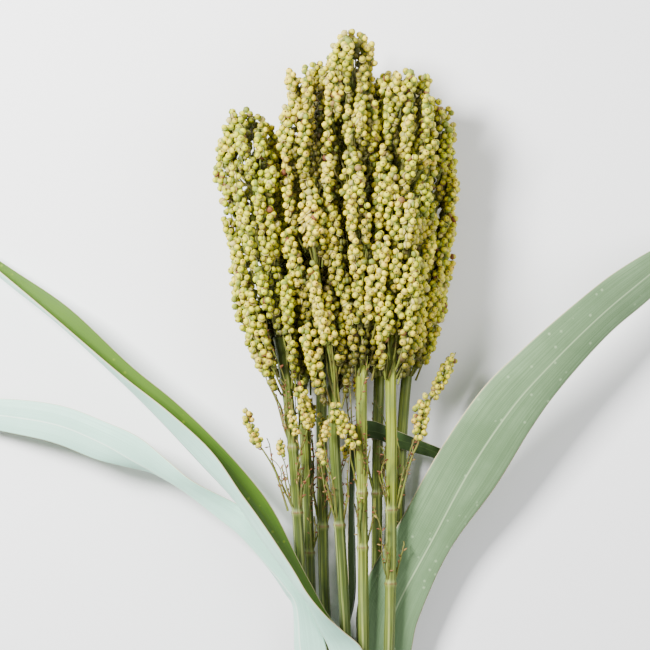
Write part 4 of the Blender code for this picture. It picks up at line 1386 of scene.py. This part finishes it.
@dataclass
class StalkPiece:
    """A ribbed stalk with swollen, cream nodes, its cut end, and the bare branches of its whorls."""

    line: StalkLine
    store: SeedStore
    model: SeedModel
    husk: SeedModel
    finishes: Finishes
    ribs: int = 14
    groove: float = 0.965
    ring_step: float = 9 * MM
    node_half: float = 3.5 * MM
    inner_ring: float = 0.35 * MM
    pith_depth: float = 0.2 * MM
    thick_branches: int = 3
    thick_reach: tuple = (24, 36)
    thick_lean: tuple = (4.5, 6.5)
    thick_radius: float = 0.6 * MM
    thin_branches: int = 6
    thin_low_down: int = 2
    low_down: float = -45 * MM
    thin_reach: tuple = (28, 92)
    thin_lean: tuple = (4, 16)
    thin_radii: tuple = (0.32, 0.48)
    thin_below: float = 0.5 * MM

    def ring_places(self) -> list:
        """Where each ring of the stalk stands along Y, and how wide it is, from the cut end up."""
        top = self.line.base_y + BARE_FOOT.get(self.line.name, 0.0)
        rings = {}
        count = round((top - CUT_END_Y) / self.ring_step)
        for i in range(count + 1):
            y = CUT_END_Y + (top - CUT_END_Y) * i / count
            if all(abs(y - whorl) > self.node_half * 1.5 for whorl in self.line.whorls):
                rings[y] = 1.0
        for whorl in self.line.whorls:
            for offset, width in NODE_PROFILE:
                rings[whorl + offset * self.node_half] = width
        return sorted(rings.items())

    def body(self) -> bpy.types.Object:
        """Models the stalk: a ribbed disc, extruded ring by ring along its line."""
        places = self.ring_places()
        first_y, width = places[0]
        deselect_all()
        bpy.ops.mesh.primitive_circle_add(vertices=self.ribs * 2, radius=STALK_RADIUS, fill_type="NGON",
                                          location=self.line.at(first_y), rotation=(math.pi / 2, 0, 0))
        made = bpy.context.object
        bpy.ops.object.transform_apply(location=True, rotation=True, scale=True)
        bpy.ops.object.mode_set(mode="EDIT")
        centre = self.line.at(first_y)
        step = math.pi / self.ribs
        select_places(made, lambda place: round(angle_round(centre, place) / step) % 2)
        bpy.ops.transform.resize(value=(self.groove, 1, self.groove), center_override=centre)
        bpy.ops.mesh.select_all(action="SELECT")
        bpy.ops.mesh.inset(thickness=self.inner_ring)
        bpy.ops.transform.translate(value=(0, self.pith_depth, 0))
        before, last_width = centre, width
        rim = STALK_RADIUS * 0.93
        select_places(made, lambda place: math.hypot(place.x - centre.x, place.z - centre.z) > rim)
        for y, width in places[1:]:
            here = self.line.at(y)
            bpy.ops.mesh.extrude_region_move(MESH_OT_extrude_region={},
                                             TRANSFORM_OT_translate={"value": here - before})
            share = width / last_width
            if abs(share - 1) > 1e-4:
                bpy.ops.transform.resize(value=(share, 1, share), center_override=here)
            before, last_width = here, width
        bpy.ops.mesh.edge_face_add()
        bpy.ops.mesh.select_all(action="SELECT")
        bpy.ops.mesh.normals_make_consistent(inside=False)
        bpy.ops.object.mode_set(mode="OBJECT")
        self.mark(made)
        return made

    def mark(self, made: bpy.types.Object) -> None:
        """Gives the stalk its UV map, round and along, its node rings, and its cut faces."""
        mesh = made.data
        mesh.shade_smooth()
        layer = mesh.uv_layers.get("UVMap") or mesh.uv_layers.new(name="UVMap")
        for face in mesh.polygons:
            middle = angle_round(self.line.at(face.center.y), face.center)
            for loop in face.loop_indices:
                place = mesh.vertices[mesh.loops[loop].vertex_index].co
                angle = angle_round(self.line.at(place.y), place)
                angle += 2 * math.pi * round((middle - angle) / (2 * math.pi))
                layer.data[loop].uv = (angle / (2 * math.pi), place.y)
            cut = abs(face.normal.y) > 0.8 and face.center.y < CUT_END_Y + 1 * MM
            face.material_index = 1 if cut else 0
        rings = []
        for vertex in mesh.vertices:
            near = min([abs(vertex.co.y - whorl) for whorl in self.line.whorls] or [1])
            rings.append(max(0.0, 1 - near / self.node_half))
        carry(mesh, ring=rings, bright=[BRIGHTNESS[self.line.name]] * len(rings))

    def whorl_lines(self) -> list:
        """The lines of the bare branches: the CAD's thick ones at each whorl, then thinner ones."""
        draw = random.Random(self.line.seed * 3)
        found = []
        for y in self.line.whorls:
            start = draw.uniform(0, 2 * math.pi)
            for i in range(self.thick_branches):
                turn = start + 2 * math.pi * i / self.thick_branches + draw.uniform(-0.3, 0.3)
                found.append((y, turn, draw.uniform(*self.thick_reach) * MM,
                              draw.uniform(*self.thick_lean) * MM, self.thick_radius))
        for y in self.line.whorls:
            for _ in range(self.thin_branches if y > self.low_down else self.thin_low_down):
                turn = draw.uniform(0, 2 * math.pi)
                found.append((y + draw.uniform(-1, 2) * MM, turn, draw.uniform(*self.thin_reach) * MM,
                              draw.uniform(*self.thin_lean) * MM, draw.uniform(*self.thin_radii) * MM))
        return found

    def build(self) -> None:
        """Builds the stalk, and its bare branches with their empty husks."""
        node = "stalk_" + self.line.name
        body = dress(self.body(), self.finishes.stalk, self.finishes.pith)
        finish_piece(body, "ribbed_" + node, "stalk", node)
        draw = random.Random(self.line.seed * 17)
        tuft = Tuft(self.store, draw, ring_radius=1.7 * MM, step=1.1 * MM, seed_size=0.75)
        twigs, husks, seeds = TwigBundle(), [], []
        for y, turn, reach, lean, radius in self.whorl_lines():
            points = self.branch_line(y, turn, reach, lean, radius, draw)
            twigs.add(points, radius * 1.25, radius * 0.8)
            bare_to = 1.0
            ends_below_head = -30 * MM < y + reach - self.line.base_y < 0
            if radius < self.thin_below and ends_below_head and draw.random() < 0.4:
                bare_to = draw.uniform(0.72, 0.85)
                seeds += tuft.seeds_round(points, bare_to, 0.2, anywhere)
            husks += bare_husks(points, 0.25, bare_to, draw, twigs)
        if husks:
            made = join_into([dress(twigs.build(), self.finishes.twig)]
                             + [dress(copies(form, places), self.finishes.seed, self.finishes.husk)
                                for form, places in ((self.husk, husks), (self.model, seeds)) if places])
            finish_piece(made, "bare_branches_" + self.line.name, "stalk", node)

    def branch_line(self, y: float, turn: float, reach: float, lean: float, radius: float,
                    draw: random.Random) -> list:
        """The line of one bare branch.

        Args:
            y: Where it leaves the stalk.
            turn: The direction round the stalk that it leans to.
            reach: How far up the bunch it goes.
            lean: How far from the stalk its tip stands.
            radius: Its own radius at its foot. A thin one sways, and passes close by the next stalks.
            draw: The source of chance.

        Returns:
            Its points.
        """
        out = Vector((math.cos(turn), 0, math.sin(turn)))
        thick = radius > self.thin_below
        beat, sway = draw.uniform(0, 2 * math.pi), (0.5 if thick else draw.uniform(2.0, 5.0)) * MM
        points = []
        for step in range(13):
            along = step / 12
            place = STALK_RADIUS * 0.5 + (STALK_RADIUS * 0.5 + lean) * along ** 0.8
            wave = out.cross(UP_BUNCH) * (sway * along * math.sin(beat + 8 * along))
            kink = Vector((draw.uniform(-1, 1), 0, draw.uniform(-1, 1))) * (0.5 * MM * along)
            point = self.line.at(y + reach * along) + out * place + wave + kink
            kept = self.line.keep_in_cell(point, radius * 1.2 if thick else -2.5 * MM)
            points.append(Vector((kept.x, kept.y, max(kept.z, 1.5 * MM))))
        return points


@dataclass
class LeafPiece:
    """A leaf: its sheath round the stalk and its blade, a thin sheet with a raised midrib below."""

    line: LeafLine
    upper: bpy.types.Material
    under: bpy.types.Material
    slot: str
    rows: int = 120
    columns: int = 28
    thickness: float = 0.5 * MM
    midrib_height: float = 0.45 * MM
    midrib_half: float = 1.0 * MM

    def build(self) -> None:
        """Lays a fine grid on the leaf's lines, thickens it and raises its midrib."""
        deselect_all()
        bpy.ops.mesh.primitive_grid_add(x_subdivisions=self.columns, y_subdivisions=self.rows, size=1)
        made = bpy.context.object
        places = self.line.grid(self.rows, self.columns)
        index = [(round((v.co.y + 0.5) * self.rows), round((v.co.x + 0.5) * self.columns))
                 for v in made.data.vertices]
        for vertex, (row, column) in zip(made.data.vertices, index):
            vertex.co = places[row][column]
        made.data.update()
        self.raise_midrib(made, places, index)
        wall = made.modifiers.new("thickness", "SOLIDIFY")
        wall.thickness = self.thickness
        wall.offset = 0
        wall.material_offset = 1
        wall.use_even_offset = False
        pick(dress(made, self.upper, self.under))
        bpy.ops.object.modifier_apply(modifier=wall.name)
        made.data.shade_smooth()
        finish_piece(made, "veined_" + self.line.name, self.slot, self.line.name)

    def raise_midrib(self, made: bpy.types.Object, places: list, index: list) -> None:
        """Presses the sheet into a narrow keel along its midrib, which fades towards the tip."""
        normals = [vertex.normal.copy() for vertex in made.data.vertices]
        for vertex, normal, (row, column) in zip(made.data.vertices, normals, index):
            middle = places[row][self.columns // 2]
            off = (places[row][column] - middle).length / self.midrib_half
            fade = 1 - (row / self.rows) ** 2
            vertex.co = vertex.co - normal * (self.midrib_height * math.exp(-off * off) * fade)


@dataclass
class TwineTie:
    """Jute twine wound three times round the bundle, its strands twisted together."""

    finishes: Finishes
    turns: int = 3
    strands: int = 3
    twine_radius: float = 1.1 * MM
    lay_length: float = 6 * MM
    step: float = 1.0 * MM

    @staticmethod
    def outline(y: float, offset: float) -> list:
        """The outline round the whole bundle at one place, that far outside its corner stalks."""
        corners = [LINE_OF[name].at(y)
                   for name in ("front_right", "front_left", "back_left", "back_right")]
        points = []
        for i, corner in enumerate(corners):
            before = (corner - corners[i - 1]).normalized()
            after = (corners[(i + 1) % 4] - corner).normalized()
            first = math.atan2(-before.x, before.z)
            turn = (math.atan2(-after.x, after.z) - first) % (2 * math.pi)
            for step in range(9):
                angle = first + turn * step / 8
                out = Vector((math.cos(angle), 0, math.sin(angle)))
                points.append(corner + out * (STALK_RADIUS + offset))
        return points

    def centre_line(self) -> list:
        """The middle of the twine: the turns side by side, with a step to the next one as it goes round."""
        ring = self.outline(TIE_Y, CLEARANCE + self.twine_radius)
        closed = ring + ring[:1]
        lengths = [0.0]
        for a, b in zip(closed, closed[1:]):
            lengths.append(lengths[-1] + (b - a).length)
        whole = lengths[-1]
        count = int(whole * self.turns / self.step)
        line = []
        for i in range(count + 1):
            gone = whole * self.turns * i / count
            at = gone % whole
            k = max(j for j in range(len(closed) - 1) if lengths[j] <= at)
            part = (at - lengths[k]) / max(lengths[k + 1] - lengths[k], 1e-9)
            point = closed[k].lerp(closed[k + 1], part)
            along = (gone / whole - self.turns / 2) * 2 * self.twine_radius
            line.append(point + UP_BUNCH * along)
        return line

    def build(self) -> None:
        """Twists the strands round the middle line and makes them a mesh."""
        line = self.centre_line()
        twine = TwigBundle()
        radius = self.twine_radius * 0.5
        for strand in range(self.strands):
            points = []
            for i, point in enumerate(line):
                ahead = (line[min(i + 1, len(line) - 1)] - line[max(i - 1, 0)]).normalized()
                first = ahead.cross(UP_BUNCH).normalized()
                angle = 2 * math.pi * (strand / self.strands + i * self.step / self.lay_length)
                points.append(point + (first * math.cos(angle) + UP_BUNCH * math.sin(angle)) * radius)
            twine.add(points, radius * 1.05, radius * 1.05)
        finish_piece(dress(twine.build(), self.finishes.twine), "jute_tie", "twine", "tie")


@dataclass(frozen=True)
class SoftLight:
    """An area light that points at the bunch."""

    name: str
    place: tuple
    size: float
    power: float

    def build(self, aim: Vector) -> None:
        """Sets the light up, turned towards its aim."""
        bpy.ops.object.light_add(type="AREA", location=self.place)
        light = bpy.context.object
        light.name = self.name
        light.data.size, light.data.energy = self.size, self.power
        light.rotation_euler = (aim - Vector(self.place)).to_track_quat("-Z", "Y").to_euler()


@dataclass
class Studio:
    """The pale floor, the soft lights and the camera, which looks straight down."""

    finishes: Finishes
    lights: tuple = (SoftLight("key", (-0.8, 0.6, 1.0), 0.4, 72), SoftLight("fill", (0.9, 0.2, 1.1), 1.0, 16))
    lights_aim: tuple = (0, 0.1, 0)
    sky: tuple = (0.95, 0.98, 1, 1)
    sky_strength: float = 0.42
    floor_size: float = 8
    distance: float = 1.4
    frame_width: float = 0.4225
    sensor_width: float = 36
    middle_y: float = 0.094
    middle_z: float = 0.05

    def build(self) -> None:
        """Sets up the floor, lights and camera."""
        deselect_all()
        bpy.ops.mesh.primitive_grid_add(x_subdivisions=8, y_subdivisions=8, size=self.floor_size)
        floor = bpy.context.object
        floor.name = "pale_floor"
        dress(floor, self.finishes.floor)
        world = bpy.data.worlds.new("soft_daylight")
        bpy.context.scene.world = world
        world.use_nodes = True
        Graph(world.node_tree).feed(world.node_tree.nodes["Background"], {0: self.sky, 1: self.sky_strength})
        for light in self.lights:
            light.build(Vector(self.lights_aim))
        bpy.ops.object.camera_add(location=(0, self.middle_y, self.middle_z + self.distance),
                                  rotation=(0, 0, 0))
        camera = bpy.context.object
        camera.data.sensor_width = self.sensor_width
        camera.data.lens = self.sensor_width * self.distance / self.frame_width
        bpy.context.scene.camera = camera


def main() -> None:
    """Loads the frame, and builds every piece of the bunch."""
    logging.basicConfig(level=logging.INFO, format="%(message)s")
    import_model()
    finishes = Finishes()
    seed, husk = SeedModel(SeedForm.RIPE), SeedModel(SeedForm.EMPTY)
    store = SeedStore(SEED_SPACING)
    for line in LOOSE_LINES:
        LooseRaceme(line, store, seed, husk, finishes).build()
    for line in STALK_LINES:
        StalkPiece(line, store, seed, husk, finishes).build()
        SeedHead(line, store, seed, finishes, dome=SHARP_TOP.get(line.name, SeedHead.dome)).build()
    sides = {"leaf_left_folded": (finishes.leaf_upper, finishes.leaf_under, "leaf_pale"),
             "leaf_left_pale": (finishes.leaf_upper, finishes.leaf_under, "leaf_pale"),
             "leaf_right": (finishes.leaf_upper, finishes.leaf_waxy, "leaf_pale"),
             "leaf_back": (finishes.leaf_dark, finishes.leaf_dark, "leaf_green")}
    for line in LEAF_LINES:
        LeafPiece(line, *sides[line.name]).build()
    TwineTie(finishes).build()
    Studio(finishes).build()


if __name__ == "__main__":
    main()
